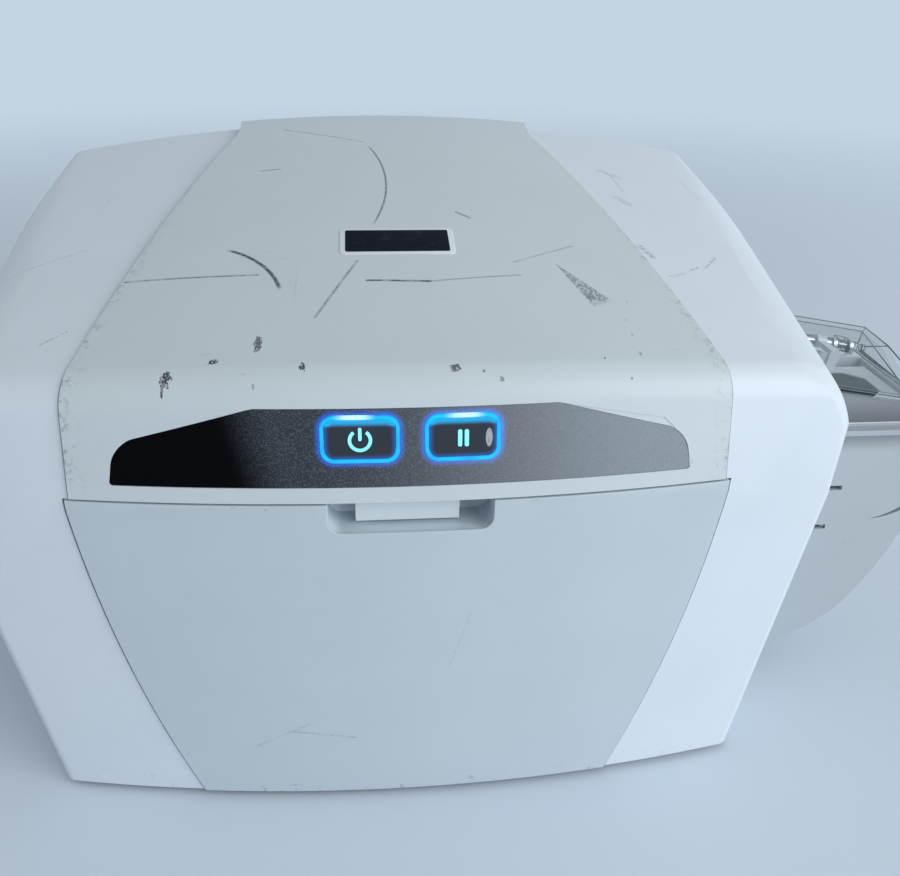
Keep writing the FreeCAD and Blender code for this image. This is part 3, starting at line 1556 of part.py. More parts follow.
def hopper_cover():
    """Thin clear moulding, open below, with two lugs on the pin."""
    outer = slab_x(hood_section(0.0, 0.0), (hood_left_x, hood_right_x))
    inner_x = (hood_left_x + hood_wall, hood_right_x - hood_wall)
    inner = slab_x(hood_section(hood_wall, overrun), inner_x)
    shell = outer.cut(inner)
    lugs = []
    for x in hood_lug_places:
        width = span(x, hood_lug_width)
        lug_y = (hood_pin_y, hood_y[1] - hood_wall / 2)
        barrel = rod_x(hood_pin_y, hood_pin_z, hood_barrel_radius, width)
        lugs += [barrel, block(width, lug_y, span(hood_pin_z, 2 * hood_barrel_radius))]
    back = block(
        inner_x,
        (hood_y[1] - hood_wall, hood_y[1] + hood_wall),
        (rim_ref_z - overrun, hood_pin_z + hood_wall / 2),
    )
    bore_x = (hood_left_x - overrun, hood_right_x + overrun)
    bore = rod_x(hood_pin_y, hood_pin_z, hood_pin_radius + running_gap, bore_x)
    return tilted(fuse([shell.cut(back)] + lugs).cut(bore))


def hopper_hinge():
    """Rail behind the bay with eyes for the hood's pin, and the pin itself."""
    eyes = []
    foot_z = hood_pin_z - 3 * hood_barrel_radius
    for x in hood_lug_places:
        for side in (-1, 1):
            middle = x + side * (hood_lug_width / 2 + ear_gap + ear_thick / 4)
            x_eye = span(middle, ear_thick / 2)
            eyes.append(rod_x(hood_pin_y, hood_pin_z, hood_barrel_radius - fit_gap, x_eye))
            eyes.append(block(x_eye, (bay_y[1] + bay_wall, hood_pin_y), (foot_z, hood_pin_z)))
    pin_x = (hood_lug_places[0] - hood_lug_width, hood_lug_places[1] + hood_lug_width)
    pin = rod_x(hood_pin_y, hood_pin_z, hood_pin_radius, pin_x)
    return tilted(fuse(eyes + [pin]))


# Weight plate that presses the cards down: an eight-sided rubber pad, and two arms from the hood's pin
weight_z = (141.0, 144.5)
weight_left = 2.5
weight_right = 58.6
weight_x = (ridge_half_width + weight_left, ridge_half_width + weight_right)
weight_y = (-38.0, 8.6)
weight_arm_insets = (23.5, 37.5)
weight_arm_places = [weight_x[0] + inset for inset in weight_arm_insets]
weight_arm_width = 5.0
weight_arm_thick = 2.4
pad_inset = 33.5
pad_x = weight_x[0] + pad_inset
pad_y = -14.0
pad_half = 15.5
pad_cut = 8.0
pad_depth = 1.5


def weight_octagon(grow, z):
    half = pad_half + grow
    return slab_z(eight_sided(pad_x, pad_y, half, pad_cut), z)


def card_weight():
    plate = block(weight_x, weight_y, weight_z)
    recess = weight_octagon(0.0, (weight_z[1] - pad_depth, weight_z[1] + overrun))
    rear = weight_y[1] - weight_arm_thick / 2
    high = hood_pin_z + weight_arm_thick / 2
    low = hood_pin_z - weight_arm_thick / 2
    legs = []
    for x in weight_arm_places:
        width = span(x, weight_arm_width)
        leg = slab_x([
            (hood_pin_y, high),
            (hood_pin_y, low),
            (rear, low),
            (rear, low - overrun),
            (rear - weight_arm_thick, low - overrun),
            (rear - weight_arm_thick, high),
        ], width)
        eye = rod_x(hood_pin_y, hood_pin_z, hood_barrel_radius, width)
        bore = rod_x(hood_pin_y, hood_pin_z, hood_pin_radius + running_gap, bay_x)
        legs.append(tilted(leg.fuse(eye).cut(bore)))
    below = block(bay_x, bay_y, (bay_floor_z - overrun, weight_z[0]))
    return fuse([plate.cut(recess)] + [leg.cut(below) for leg in legs])


def weight_pad():
    return weight_octagon(-fit_gap, (weight_z[1] - pad_depth, weight_z[1] - fit_gap))


def parts():
    drive_end = near_plane[1]
    return {
        "top_lid": top_lid,
        "control_inlay": control_inlay,
        "button_light_rings": button_light_rings,
        "power_button": lambda: push_button(power_x),
        "pause_button": lambda: push_button(pause_x),
        "control_board": control_board,
        "latch_paddle": latch_paddle,
        "latch_pin": latch_pin,
        "lid_carrier": lid_carrier,
        "head_bracket": head_bracket,
        "print_head": print_head,
        "hinge_pins": hinge_pins,
        "hinge_brackets": hinge_brackets,
        "front_panel": front_panel,
        "left_cover": left_cover,
        "right_cover": right_cover,
        "rear_panel": rear_panel,
        "base_pan": base_pan,
        "rubber_feet": rubber_feet,
        "main_board": main_board,
        "usb_port": usb_port,
        "power_jack": power_jack,
        "front_plate": front_plate,
        "rear_plate": rear_plate,
        "tie_rods": tie_rods,
        "roller_bushes": roller_bushes,
        "platen_roller": lambda: roller(0.0, drive_end),
        "exit_roller": lambda: roller(-roller_pitch, drive_end),
        "entry_roller": entry_roller,
        "cleaning_roller": lambda: roller(cleaner_x, rear_plate_y + plate_thick),
        "pinch_roller_left": lambda: pinch_roller(-roller_pitch),
        "pinch_roller_right": lambda: pinch_roller(roller_pitch),
        "platen_gear": lambda: roller_gear(0.0, platen_phase),
        "exit_gear": lambda: roller_gear(-roller_pitch, left_gear_phase),
        "entry_gear": lambda: roller_gear(roller_pitch, right_gear_phase),
        "left_idler": lambda: idler_gear(-idler_reach, left_idler_phase),
        "right_idler": lambda: idler_gear(idler_reach, right_idler_phase),
        "reduction_gear": reduction_gear,
        "drive_motor": drive_motor,
        "motor_pinion": motor_pinion,
        "take_up_hub": take_up_hub,
        "ribbon_motor": ribbon_motor,
        "ribbon_pinion": ribbon_pinion,
        "ribbon_cartridge": ribbon_cartridge,
        "supply_spool": lambda: spool(spool_reach, supply_radius),
        "take_up_spool": lambda: spool(-spool_reach, take_up_radius),
        "ribbon_film": ribbon_film,
        "card_guides": card_guides,
        "exit_flap": exit_flap,
        "hopper_bay": hopper_bay,
        "pick_roller": pick_roller,
        "pick_belt": pick_belt,
        "output_bin": output_bin,
        "hopper_cover": hopper_cover,
        "hopper_hinge": hopper_hinge,
        "card_weight": card_weight,
        "weight_pad": weight_pad,
    }


for name, make in parts().items():
    make().exportStep(f"parts/{name}.step")
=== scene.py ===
import json
import math

import bpy
from bpy.props import FloatProperty, FloatVectorProperty, IntProperty, PointerProperty
from mathutils import Matrix, Vector


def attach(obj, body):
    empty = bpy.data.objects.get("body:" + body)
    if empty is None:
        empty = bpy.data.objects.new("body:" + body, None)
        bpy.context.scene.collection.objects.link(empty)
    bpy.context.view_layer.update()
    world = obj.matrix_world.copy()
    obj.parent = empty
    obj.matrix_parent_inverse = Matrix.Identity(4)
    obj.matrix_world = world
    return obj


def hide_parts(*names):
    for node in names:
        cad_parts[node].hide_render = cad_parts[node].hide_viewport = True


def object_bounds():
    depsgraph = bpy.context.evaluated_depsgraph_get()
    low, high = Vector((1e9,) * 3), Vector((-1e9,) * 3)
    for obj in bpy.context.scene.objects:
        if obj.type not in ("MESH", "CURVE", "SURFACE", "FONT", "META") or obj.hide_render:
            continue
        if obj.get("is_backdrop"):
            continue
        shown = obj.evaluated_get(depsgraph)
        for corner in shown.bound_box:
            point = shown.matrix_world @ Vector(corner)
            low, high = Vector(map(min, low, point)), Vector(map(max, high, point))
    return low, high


bl_info = {
    "name": "Card Printer Finishes",
    "version": (1, 0, 0),
    "blender": (4, 5, 0),
    "location": "3D View > Sidebar > Card Printer",
    "description": "Rounded shells, trim, screws and finishes of a desktop card printer",
    "category": "Object",
}

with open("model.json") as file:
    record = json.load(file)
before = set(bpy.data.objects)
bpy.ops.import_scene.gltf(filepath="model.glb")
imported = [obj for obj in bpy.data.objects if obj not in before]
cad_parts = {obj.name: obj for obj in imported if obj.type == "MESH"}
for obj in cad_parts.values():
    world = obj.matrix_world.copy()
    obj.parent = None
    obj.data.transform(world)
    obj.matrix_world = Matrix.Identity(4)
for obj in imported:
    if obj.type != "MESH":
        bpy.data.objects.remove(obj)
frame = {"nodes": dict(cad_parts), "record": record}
cad_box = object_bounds()

MM = 0.001

# The front leans back, and its profile is swept round a far axis that leans more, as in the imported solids
LEAN = math.radians(8.0)
FRONT_FOOT = Vector((0.0, -116.2, 147.0))
BOW_LEAN = math.radians(28.0)
BOW_RADIUS = 650.0
BOW_NEAR_Y = -57.0
BOW_NEAR_Z = 150.0
BOW_CENTRE = Vector((
    0.0, BOW_NEAR_Y + BOW_RADIUS * math.cos(BOW_LEAN), BOW_NEAR_Z - BOW_RADIUS * math.sin(BOW_LEAN),
))
BOW_AXIS = Vector((0.0, math.sin(BOW_LEAN), math.cos(BOW_LEAN)))
BOW_HALF = math.radians(11.0)
BOW_STEPS = 44
SLAB_HEIGHT = 40.0

# Blocks that cut through the front, and the length from which an edge of theirs counts as a long one
THROUGH_Y = -110.0
THROUGH_DEPTH = 60.0
LONG_EDGE = 50.0

# Control band seen from the front, and its two buttons, in millimetres; the lean of its ends in radians
BAND_Z = (153.4, 182.0)
BAND_TOP_HALF = 53.0
BAND_END_HALF = 104.6
BAND_END_LEAN = 0.17
BAND_SHOULDER_Z = 167.7
BAND_SHOULDER_ROUND = 7.6
BAND_FOOT_ROUND = 1.2
BAND_CORNER_REACH = 5.0
BAND_FOOT_REACH = 0.5
POWER_X = (-29.0, -4.3)
PAUSE_X = (7.5, 31.2)
BUTTON_Z = (164.0, 178.0)
BUTTON_CORNER = 3.4

# Depths behind the front's skin of the band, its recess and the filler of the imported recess, and how far
# the last two and the button holes reach past the band's and the buttons' outlines
BAND_DEPTHS = (0.1, 0.9)
RECESS_DEPTHS = (-4.0, 0.98)
FILLER_DEPTHS = (0.0, 1.6)
RECESS_GROW = 0.17
FILLER_GROW = 3.8
FILLER_TOP = 0.3
WINDOW_GROW = 1.6
HOLE_GROW = 1.65

# Side covers: the share of their wall that rounding may take, and what tells their long outer edges,
# between a skin, which is the front or the roof, and a flank
COVER_WALL = 2.4
COVER_WALL_SHARE = 0.92
OUTER_EDGE_X = 145.0
SHORT_EDGE = 0.8
FRONT_EDGE_Y = -80.0
SKIN_NORMAL_X = 0.45
FLANK_NORMAL_X = 0.5
ROOF_NORMAL_Z = 0.85
FULL_ROUND_NORMAL_Z = 0.9
EDGE_TURNS = (math.radians(12.0), math.radians(85.0))
FACET_DEGREES = 9.0
LEAST_FACETS = 3

# Gaps that merging closes, and angles from which an edge counts as flat, sharp or to be shaded sharp
COPY_MERGE = 0.002
SLAB_MERGE = 0.001
SHAVE_REACH = 0.01
SHAVE_MERGE = 0.02
FLAT_TURN = math.radians(0.6)
SHARP_TURN = math.radians(32.0)
SHELL_DEGREES = 40.0
PIECE_DEGREES = 30.0

# Rounding of the bin's and the bay's edges, against that of the lid's
HOPPER_ROUND_SHARE = 0.6

# Places that marks, shades and glows follow, in millimetres
LID_HALF = 98.0
LID_TAPER = 0.17
GLOW_SPOTS = ((-18.5, 0.0, 179.0), (20.0, 0.0, 179.0))
WORN_SPOT = (28.5, 0.0, 170.8)
CAP_BROW_Z = 175.2
SIGN_FOOT_Z = 168.0
COVER_TOP_Z = 172.0
PANEL_TOP_Z = 140.0
POCKET_Y = (-115.0, -90.0)
POCKET_Z = 133.0
POCKET_HALF = 34.0
BAY_FRONT_Y = -42.6
BAY_STRIP_Z = 138.6
BAY_LIP_Z = (133.0, 138.4)
BIN_FRONT_Y = -40.0
BIN_TOP_Z = 133.8
TRACK_PITCH = 2.4

# Bare badge on the roof, which rises from a low to a high point given as Y and Z
ROOF_LOW = (-34.0, 214.4)
ROOF_HIGH = (-12.3, 220.05)
BADGE_PLACE = (0.4, -23.2, 217.25)
BADGE_SINK = 0.55
BADGE_MARGINS = (4.4, 4.0)
BADGE_EDGE_ROUND = 0.25
BADGE_RIM_THICK = 0.9
BADGE_RIM_CORNER = 2.4
BADGE_FIELD_THICK = 1.1
BADGE_FIELD_CORNER = 1.0

# Button signs, whose lines and bars are shares of their size
SIGN_LIFT = 0.52
SIGN_THICK = 0.25
SIGN_LINE_SHARE = 0.14
SIGN_GAP_DEGREES = 34.0
POWER_BAR_SHARE = 0.56
POWER_RISE_SHARE = 0.26
PAUSE_BAR_SHARE = 0.74
PAUSE_ASIDE_SHARE = 0.14
PAUSE_LINE_SHARE = 1.25
BAR_ROUND_SHARE = 0.4

# The hood's bead, a dark line of painted shade along its clear edges
BEAD_THICK = 0.7
BEAD_TURN = math.radians(38.0)
BEAD_DEGREES = 60.0

# Screws of the rear panel, sunk in its face, with shares of their head's diameter
SCREW_X = (-68.0, 68.0)
SCREW_Z = (14.0, 120.0, 214.0)
REAR_Y = 117.0
SCREW_SINK = 0.15
SCREW_TURN = 0.3
HEAD_SUNK_SHARE = 0.27
HEAD_HIGH_SHARE = 0.3
HEAD_ROUND_SHARE = 0.16
CROSS_SHARES = (0.55, 0.12, 0.3)

# Camera: its place, and its turn to the right, its tilt down and its roll
CAMERA_PLACE = Vector((-15.17, -409.23, 317.03))
CAMERA_DEGREES = (5.75, 26.15, 1.05)
SENSOR_WIDTH = 36.0
CLIP_METRES = (0.01, 100.0)

# Lamps with their places and sizes in metres: all aim at one point, and the left one has a share of the
# side lamps' power
KEY_LAMP = ((1.72, -1.5, 0.99), 2.1)
LEFT_LAMP = ((-1.6, 0.3, 0.9), 1.2)
RIGHT_LAMP = ((1.6, 0.4, 0.9), 1.2)
LAMP_AIM = Vector((0.0, 0.0, 0.12))
LEFT_LAMP_SHARE = 0.4
LAMP_COLOUR = (0.93, 0.97, 1.0)
ROOM_COLOUR = (0.90, 0.955, 1.0)

# Floor: its side in metres, and the distances in millimetres at which it is gone and still whole
FLOOR_SIZE = 9.0
FLOOR_FADE = (2400.0, 450.0)


# Values and node work shared by all the finishes


class Shade:
    """A value that varies over a surface. Plain arithmetic on it adds the nodes."""

    def __init__(self, tree, socket):
        self.tree = tree
        self.socket = socket

    def node(self, kind, settings=None, inputs=None, output=0):
        """Adds a node with its settings and inputs, and gives one of its outputs."""
        made = self.tree.nodes.new(kind)
        for key, value in (settings or {}).items():
            setattr(made, key, value)
        for key, value in (inputs or {}).items():
            if isinstance(value, Shade):
                self.tree.links.new(value.socket, made.inputs[key])
            else:
                made.inputs[key].default_value = value
        return Shade(self.tree, made.outputs[output])

    def work(self, operation, *values):
        """Arithmetic on numbers and shades, by the name of the node's operation."""
        return self.node("ShaderNodeMath", {"operation": operation}, dict(enumerate(values)))

    def __add__(self, other):
        return self.work("ADD", self, other)

    __radd__ = __add__

    def __sub__(self, other):
        return self.work("SUBTRACT", self, other)

    def __rsub__(self, other):
        return self.work("SUBTRACT", other, self)

    def __mul__(self, other):
        return self.work("MULTIPLY", self, other)

    __rmul__ = __mul__

    def __truediv__(self, other):
        return self.work("DIVIDE", self, other)

    def __pow__(self, other):
        return self.work("POWER", self, other)

    def __abs__(self):
        return self.work("ABSOLUTE", self)

    def vector(self, operation, second=None, output=0, slot=1):
        """Arithmetic on this as a vector, with a second value in one of the node's slots."""
        inputs = {0: self} if second is None else {0: self, slot: second}
        return self.node("ShaderNodeVectorMath", {"operation": operation}, inputs, output)

    def most(self, other):
        return self.work("MAXIMUM", self, other)

    def least(self, other):
        return self.work("MINIMUM", self, other)

    def ramp(self, low, high):
        """0 below low and 1 above high, smooth between; low may be the larger one."""
        settings = {"interpolation_type": "SMOOTHSTEP"}
        return self.node("ShaderNodeMapRange", settings, {0: self, 1: low, 2: high})

    def blend(self, first, second):
        """First colour where this is 0, second where it is 1."""
        settings = {"data_type": "RGBA"}
        return self.node("ShaderNodeMix", settings, {0: self, 6: first, 7: second}, 2)


def rgba(colour, factor=1.0, most=1.0):
    """Opaque colour, darkened or lightened by a factor up to a limit."""
    return (*(min(c * factor, most) for c in colour), 1.0)


class Finish:
    """A material with one main shader, and the places in object space that its patterns follow."""

    def __init__(self, name, shader=None):
        self.material = bpy.data.materials.new(name)
        self.material.use_nodes = True
        self.tree = self.material.node_tree
        self.shader = self.tree.nodes["Principled BSDF"]
        for key, value in (shader or {}).items():
            self.shader.inputs[key].default_value = value
        start = Shade(self.tree, None)
        metres = start.node("ShaderNodeTexCoord", output=3)
        self.mm = metres.vector("SCALE", 1 / MM, slot=3)
        parts = [start.node("ShaderNodeSeparateXYZ", None, {0: self.mm}, i) for i in range(3)]
        self.x, self.y, self.z = parts

    def noise(self, size, detail=3.0, rough=0.55, stretch=None):
        """Cloudy pattern whose blots are about that many millimetres wide."""
        where = self.mm
        if stretch:
            where = where.vector("MULTIPLY", stretch)
        inputs = {"Vector": where, "Scale": 1 / size, "Detail": detail, "Roughness": rough}
        return where.node("ShaderNodeTexNoise", None, inputs)

    def cells(self, size, output=0):
        """Cells about that many millimetres wide: distance to their middles, or a colour of each."""
        inputs = {"Vector": self.mm, "Scale": 1 / size}
        return self.mm.node("ShaderNodeTexVoronoi", None, inputs, output)

    def away(self, point, scale=(1.0, 1.0, 1.0)):
        """Distance from a point in millimetres, with each axis weighed."""
        offset = self.mm.vector("SUBTRACT", point)
        return offset.vector("MULTIPLY", scale).vector("LENGTH", output=1)

    def arc(self, centre, radius, middle, reach, width):
        """Scuff along part of a circle seen from above."""
        flat = (1.0, 1.0, 0.0)
        line = abs(self.away((*centre, 0.0), flat) - radius)
        near = self.away((*middle, 0.0), flat)
        return line.ramp(width, width * 0.25) * near.ramp(reach, reach * 0.8)

    def stroke(self, start, end, width, flat=(1.0, 1.0, 0.0)):
        """Straight scuff between two points."""
        a = Vector(start)
        b = Vector(end)
        way = Vector([c * f for c, f in zip(b - a, flat)])
        offset = self.mm.vector("SUBTRACT", a).vector("MULTIPLY", flat)
        along = offset.vector("DOT_PRODUCT", way, 1) / way.length_squared
        along = along.most(0.0).least(1.0)
        step = along.node("ShaderNodeVectorMath", {"operation": "SCALE"}, {0: way, 3: along})
        return offset.vector("DISTANCE", step, 1).ramp(width, width * 0.3)

    def wedge(self, tip, end, width):
        """Scuff that widens from its tip to its end, seen from above."""
        way = Vector((*end, 0.0)) - Vector((*tip, 0.0))
        ahead = way.normalized()
        x = self.x - tip[0]
        y = self.y - tip[1]
        along = (x * ahead.x + y * ahead.y) / way.length
        aside = abs(y * ahead.x - x * ahead.y)
        inside = (along * width - aside).ramp(0.0, 0.5)
        return inside * along.ramp(0.0, 0.1) * along.ramp(1.0, 0.85)

    def blot(self, point, size, streak):
        """Ragged mark about that many millimetres wide, seen from above."""
        flat = (*point, 0.0)
        far = self.away(flat, streak) / size
        ragged = self.noise(size * 0.55, 3.0, 0.65, stretch=streak)
        return (ragged * 1.5 - far).ramp(0.12, 0.26)

    def round_button(self, x):
        """Distance outside a button's edge, and below zero inside it, seen from the front."""
        across = abs(self.x - sum(x) / 2) - ((x[1] - x[0]) / 2 - BUTTON_CORNER)
        upward = abs(self.z - sum(BUTTON_Z) / 2) - ((BUTTON_Z[1] - BUTTON_Z[0]) / 2 - BUTTON_CORNER)
        outer = (across.most(0.0) ** 2.0 + upward.most(0.0) ** 2.0) ** 0.5
        return outer + across.most(upward).least(0.0) - BUTTON_CORNER

    def buttons_edge(self):
        """Distance outside the edge of the nearer button."""
        return self.round_button(POWER_X).least(self.round_button(PAUSE_X))

    def bump(self, height, depth, strength):
        """Raises the surface by the height, which runs from 0 to 1, times a depth in millimetres."""
        inputs = {"Height": height, "Distance": depth * MM, "Strength": strength}
        normal = height.node("ShaderNodeBump", None, inputs)
        self.feed(Normal=normal)

    def feed(self, **values):
        """Links values to the shader's sockets; an underline in a name stands for a space."""
        for key, value in values.items():
            self.tree.links.new(value.socket, self.shader.inputs[key.replace("_", " ")])


def moulded(name, colour, grain, rough, dirt, marks=None):
    """Spark-textured plastic moulding with faint cloudiness and specks of dirt."""
    finish = Finish(name, {"IOR": 1.49})
    cloud = finish.noise(38.0, 3.0)
    fine = finish.noise(grain, 2.0, 0.6)
    specks = finish.noise(2.4, 4.0, 0.7).ramp(0.70, 0.78)
    patches = finish.noise(26.0, 2.0).ramp(0.42, 0.62)
    rub = specks * patches * dirt
    body = cloud.blend(rgba(colour, 0.955), rgba(colour, 1.03))
    shown = rub.blend(body, rgba(colour, 0.30))
    if marks:
        # Marks carry scuffs and dirt, and also painted shade on the card bay and the bin and painted light
        # in the front panel's finger pocket.
        dark, pale = marks(finish)
        shown = pale.blend(shown, rgba(colour, 1.25, 0.95))
        shown = dark.blend(shown, rgba((0.035, 0.038, 0.045)))
        rub = rub.most(dark).most(pale * 0.6)
    finish.feed(Base_Color=shown)
    finish.feed(Roughness=cloud * 0.10 + fine * 0.06 + (rough - 0.08) + rub * 0.25)
    finish.bump(fine, 0.028, 0.55)
    return finish.material


def lid_marks(finish):
    """Knocks and scratches on the lid's roof, where handling has left them."""
    dry = finish.noise(0.8, 3.0, 0.7).ramp(0.34, 0.54)
    wide = finish.noise(9.0, 3.0, 0.7).ramp(0.36, 0.55)
    grain = dry * 0.6 + 0.4
    arcs = (
        ((-92.0, -66.0), 47.4, (-57.5, -41.0), 20.0, 1.2, 1.0),
        ((-126.4, 30.6), 124.1, (-3.0, 32.0), 44.0, 0.7, 0.75),
    )
    dark = 0.0 * dry
    for centre, radius, middle, reach, width, depth in arcs:
        dark = dark.most(finish.arc(centre, radius, middle, reach, width) * depth * grain)
    lines = (
        ((-51.2, 98.7), (-11.5, 78.0), 0.55, 0.55),
        ((-16.0, -38.0), (-32.0, -75.0), 0.8, 0.60),
        ((-106.0, -41.6), (-54.6, -45.2), 0.8, 0.70),
        ((-12.5, -52.3), (12.0, -53.3), 0.9, 1.0),
        ((12.0, -53.3), (47.9, -47.8), 0.7, 0.45),
        ((46.8, -38.4), (73.6, -23.2), 0.7, 0.35),
        ((27.0, 1.7), (32.6, -3.5), 0.9, 0.9),
        ((-59.2, 47.2), (-50.9, 48.2), 0.8, 0.65),
    )
    for start, end, width, depth in lines:
        line = finish.stroke((*start, 0.0), (*end, 0.0), width) * (wide * 0.5 + 0.5)
        dark = dark.most(line * depth * grain)
    streaks = finish.noise(1.3, 3.0, 0.75, stretch=(1.0, 0.5, 1.0)).ramp(0.36, 0.60)
    dark = dark.most(finish.wedge((63.1, -36.9), (78.6, -66.0), 5.2) * (streaks * 0.55 + 0.1))
    blots = (
        ((-82.3, -101.4), 3.3, (1.0, 0.9, 0.0), 1.0),
        ((-83.4, -104.6), 1.3, (1.4, 0.6, 0.0), 1.0),
        ((-66.5, -96.8), 2.6, (1.0, 1.0, 0.0), 1.0),
        ((-35.8, -102.0), 2.3, (1.2, 0.8, 0.0), 1.0),
        ((-51.7, -88.6), 3.4, (1.3, 0.45, 0.0), 0.85),
        ((-52.4, -106.6), 1.0, (1.0, 0.9, 0.0), 0.45),
        ((84.8, -74.0), 0.8, (1.0, 0.5, 0.0), 0.40),
        ((85.0, -83.0), 0.7, (1.0, 0.4, 0.0), 0.35),
        ((85.5, -94.0), 0.9, (1.0, 0.4, 0.0), 0.45),
        ((88.0, -62.0), 0.6, (1.0, 0.5, 0.0), 0.40),
        ((16.8, -104.0), 3.0, (0.8, 1.4, 0.0), 0.85),
        ((26.9, -105.1), 0.8, (1.0, 1.0, 0.0), 0.8),
        ((33.0, -107.2), 1.2, (0.8, 1.0, 0.0), 0.6),
        ((71.5, -97.8), 0.9, (1.0, 1.0, 0.0), 0.7),
        ((80.2, -104.1), 0.6, (1.0, 1.0, 0.0), 0.8),
        ((-50.6, 99.4), 0.9, (1.0, 1.0, 0.0), 0.4),
    )
    brushed = finish.noise(0.7, 4.0, 0.8, stretch=(1.0, 0.5, 0.5)).ramp(0.38, 0.50)
    for point, size, streak, depth in blots:
        dark = dark.most(finish.blot(point, size, streak) * depth * brushed)
    edge = (abs(finish.x) - (LID_HALF - finish.y * LID_TAPER)).ramp(-6.0, 12.0)
    grime = finish.noise(3.2, 5.0, 0.72).ramp(0.50, 0.62) * edge * (brushed * 0.6 + 0.4)
    smears = finish.noise(5.0, 4.0, 0.7, stretch=(0.6, 2.4, 1.0)).ramp(0.64, 0.76) * wide
    dark = dark.most(grime * 0.75).most(smears * 0.24)
    pale = finish.noise(14.0, 5.0, 0.8, stretch=(1.0, 3.0, 1.0)).ramp(0.66, 0.74) * 0.15
    return dark, pale


def panel_marks(finish):
    """Faint rubs low on the front panel, and painted light that brightens the walls of its finger pocket.
    """
    upright = (1.0, 0.0, 1.0)
    dry = finish.noise(1.4, 3.0, 0.7).ramp(0.42, 0.58)
    lines = (
        ((-48.0, 0.0, 38.0), (-22.0, 0.0, 34.0), 0.7, 0.30),
        ((-62.0, 0.0, 30.0), (-40.0, 0.0, 42.0), 0.6, 0.25),
        ((16.0, 0.0, 70.0), (24.0, 0.0, 96.0), 0.5, 0.15),
    )
    dark = 0.0 * dry
    for start, end, width, depth in lines:
        dark = dark.most(finish.stroke(start, end, width, upright) * depth * dry)
    rim = (finish.z - PANEL_TOP_Z).ramp(0.0, 6.0)
    dark = dark.most(rim * finish.noise(3.0, 5.0, 0.75).ramp(0.64, 0.70) * 0.55)
    low = (12.0 - finish.z).ramp(0.0, 8.0)
    dark = dark.most(low * finish.noise(5.0, 5.0, 0.75).ramp(0.58, 0.68) * 0.4)
    pale = finish.noise(20.0, 5.0, 0.8, stretch=(1.0, 1.0, 0.3)).ramp(0.66, 0.76) * 0.3
    # Painted light in the finger pocket, which lies in shade under the lid.
    deep = (finish.y - POCKET_Y[0]).ramp(0.0, 2.0) * (finish.y - POCKET_Y[1]).ramp(0.0, -2.0)
    pocket_light = deep * (finish.z - POCKET_Z).ramp(0.0, 2.0) * (abs(finish.x) - POCKET_HALF).ramp(0.0, -2.0)
    return dark, pale.most(pocket_light)


def shell_marks(finish):
    """Scuffs on the white covers."""
    dry = finish.noise(1.1, 3.0, 0.7).ramp(0.40, 0.60)
    lines = (
        ((123.4, -30.4), (127.6, -27.0), 0.9, 0.34),
        ((131.1, -26.4), (138.9, -16.1), 0.9, 0.30),
        ((113.0, -37.0), (119.0, -34.0), 1.6, 0.16),
        ((105.0, 66.0), (113.0, 60.0), 2.6, 0.18),
        ((106.0, 34.0), (111.0, 28.0), 2.4, 0.20),
        ((105.5, -14.0), (109.0, -22.0), 2.2, 0.26),
        ((-121.9, -66.8), (-131.1, -73.7), 0.7, 0.24),
        ((-158.0, -20.0), (-128.0, -8.0), 0.7, 0.14),
    )
    dark = 0.0 * dry
    for start, end, width, depth in lines:
        dark = dark.most(finish.stroke((*start, 0.0), (*end, 0.0), width) * depth)
    dark = dark * dry * 1.6 * (finish.z - COVER_TOP_Z).ramp(0.0, 6.0)
    low = (14.0 - finish.z).ramp(0.0, 10.0)
    dark = dark.most(low * finish.noise(6.0, 5.0, 0.75).ramp(0.58, 0.68) * 0.30)
    pale = finish.noise(20.0, 4.0, 0.8).ramp(0.70, 0.80) * 0.2
    return dark, pale


def bay_tint_and_shade(finish):
    """Grey tint of the strip across the front of the card bay, with painted shade that deepens towards its
    foot, and painted shade on the lip under it.
    """
    front = (finish.y - BAY_FRONT_Y).ramp(0.0, -0.2)
    strip = (finish.z - BAY_STRIP_Z).ramp(0.0, 0.3) * front
    # Painted shade: the strip darkens towards its foot, and the lip under it is darkened as well.
    shade = (finish.z - BAY_STRIP_Z).ramp(14.0, 0.0)
    lip_shade = (finish.z - BAY_LIP_Z[0]).ramp(0.0, 0.4) * (BAY_LIP_Z[1] - finish.z).ramp(0.0, 0.3) * front
    return (strip * (shade * 0.16 + 0.66)).most(lip_shade * 0.42), 0.0 * strip


def bin_marks(finish):
    """Soft shade that the bay's lip throws on the bin, and scuffs in the bin's hollow."""
    under = (finish.z - BIN_TOP_Z).ramp(-9.0, -1.0) * (finish.y - BIN_FRONT_Y).ramp(0.0, -1.0)
    dry = finish.noise(1.2, 3.0, 0.7).ramp(0.42, 0.60)
    smears = finish.noise(6.0, 4.0, 0.7, stretch=(1.0, 1.0, 0.5)).ramp(0.62, 0.74)
    return (under * 0.42).most(smears * dry * 0.14), 0.0 * dry


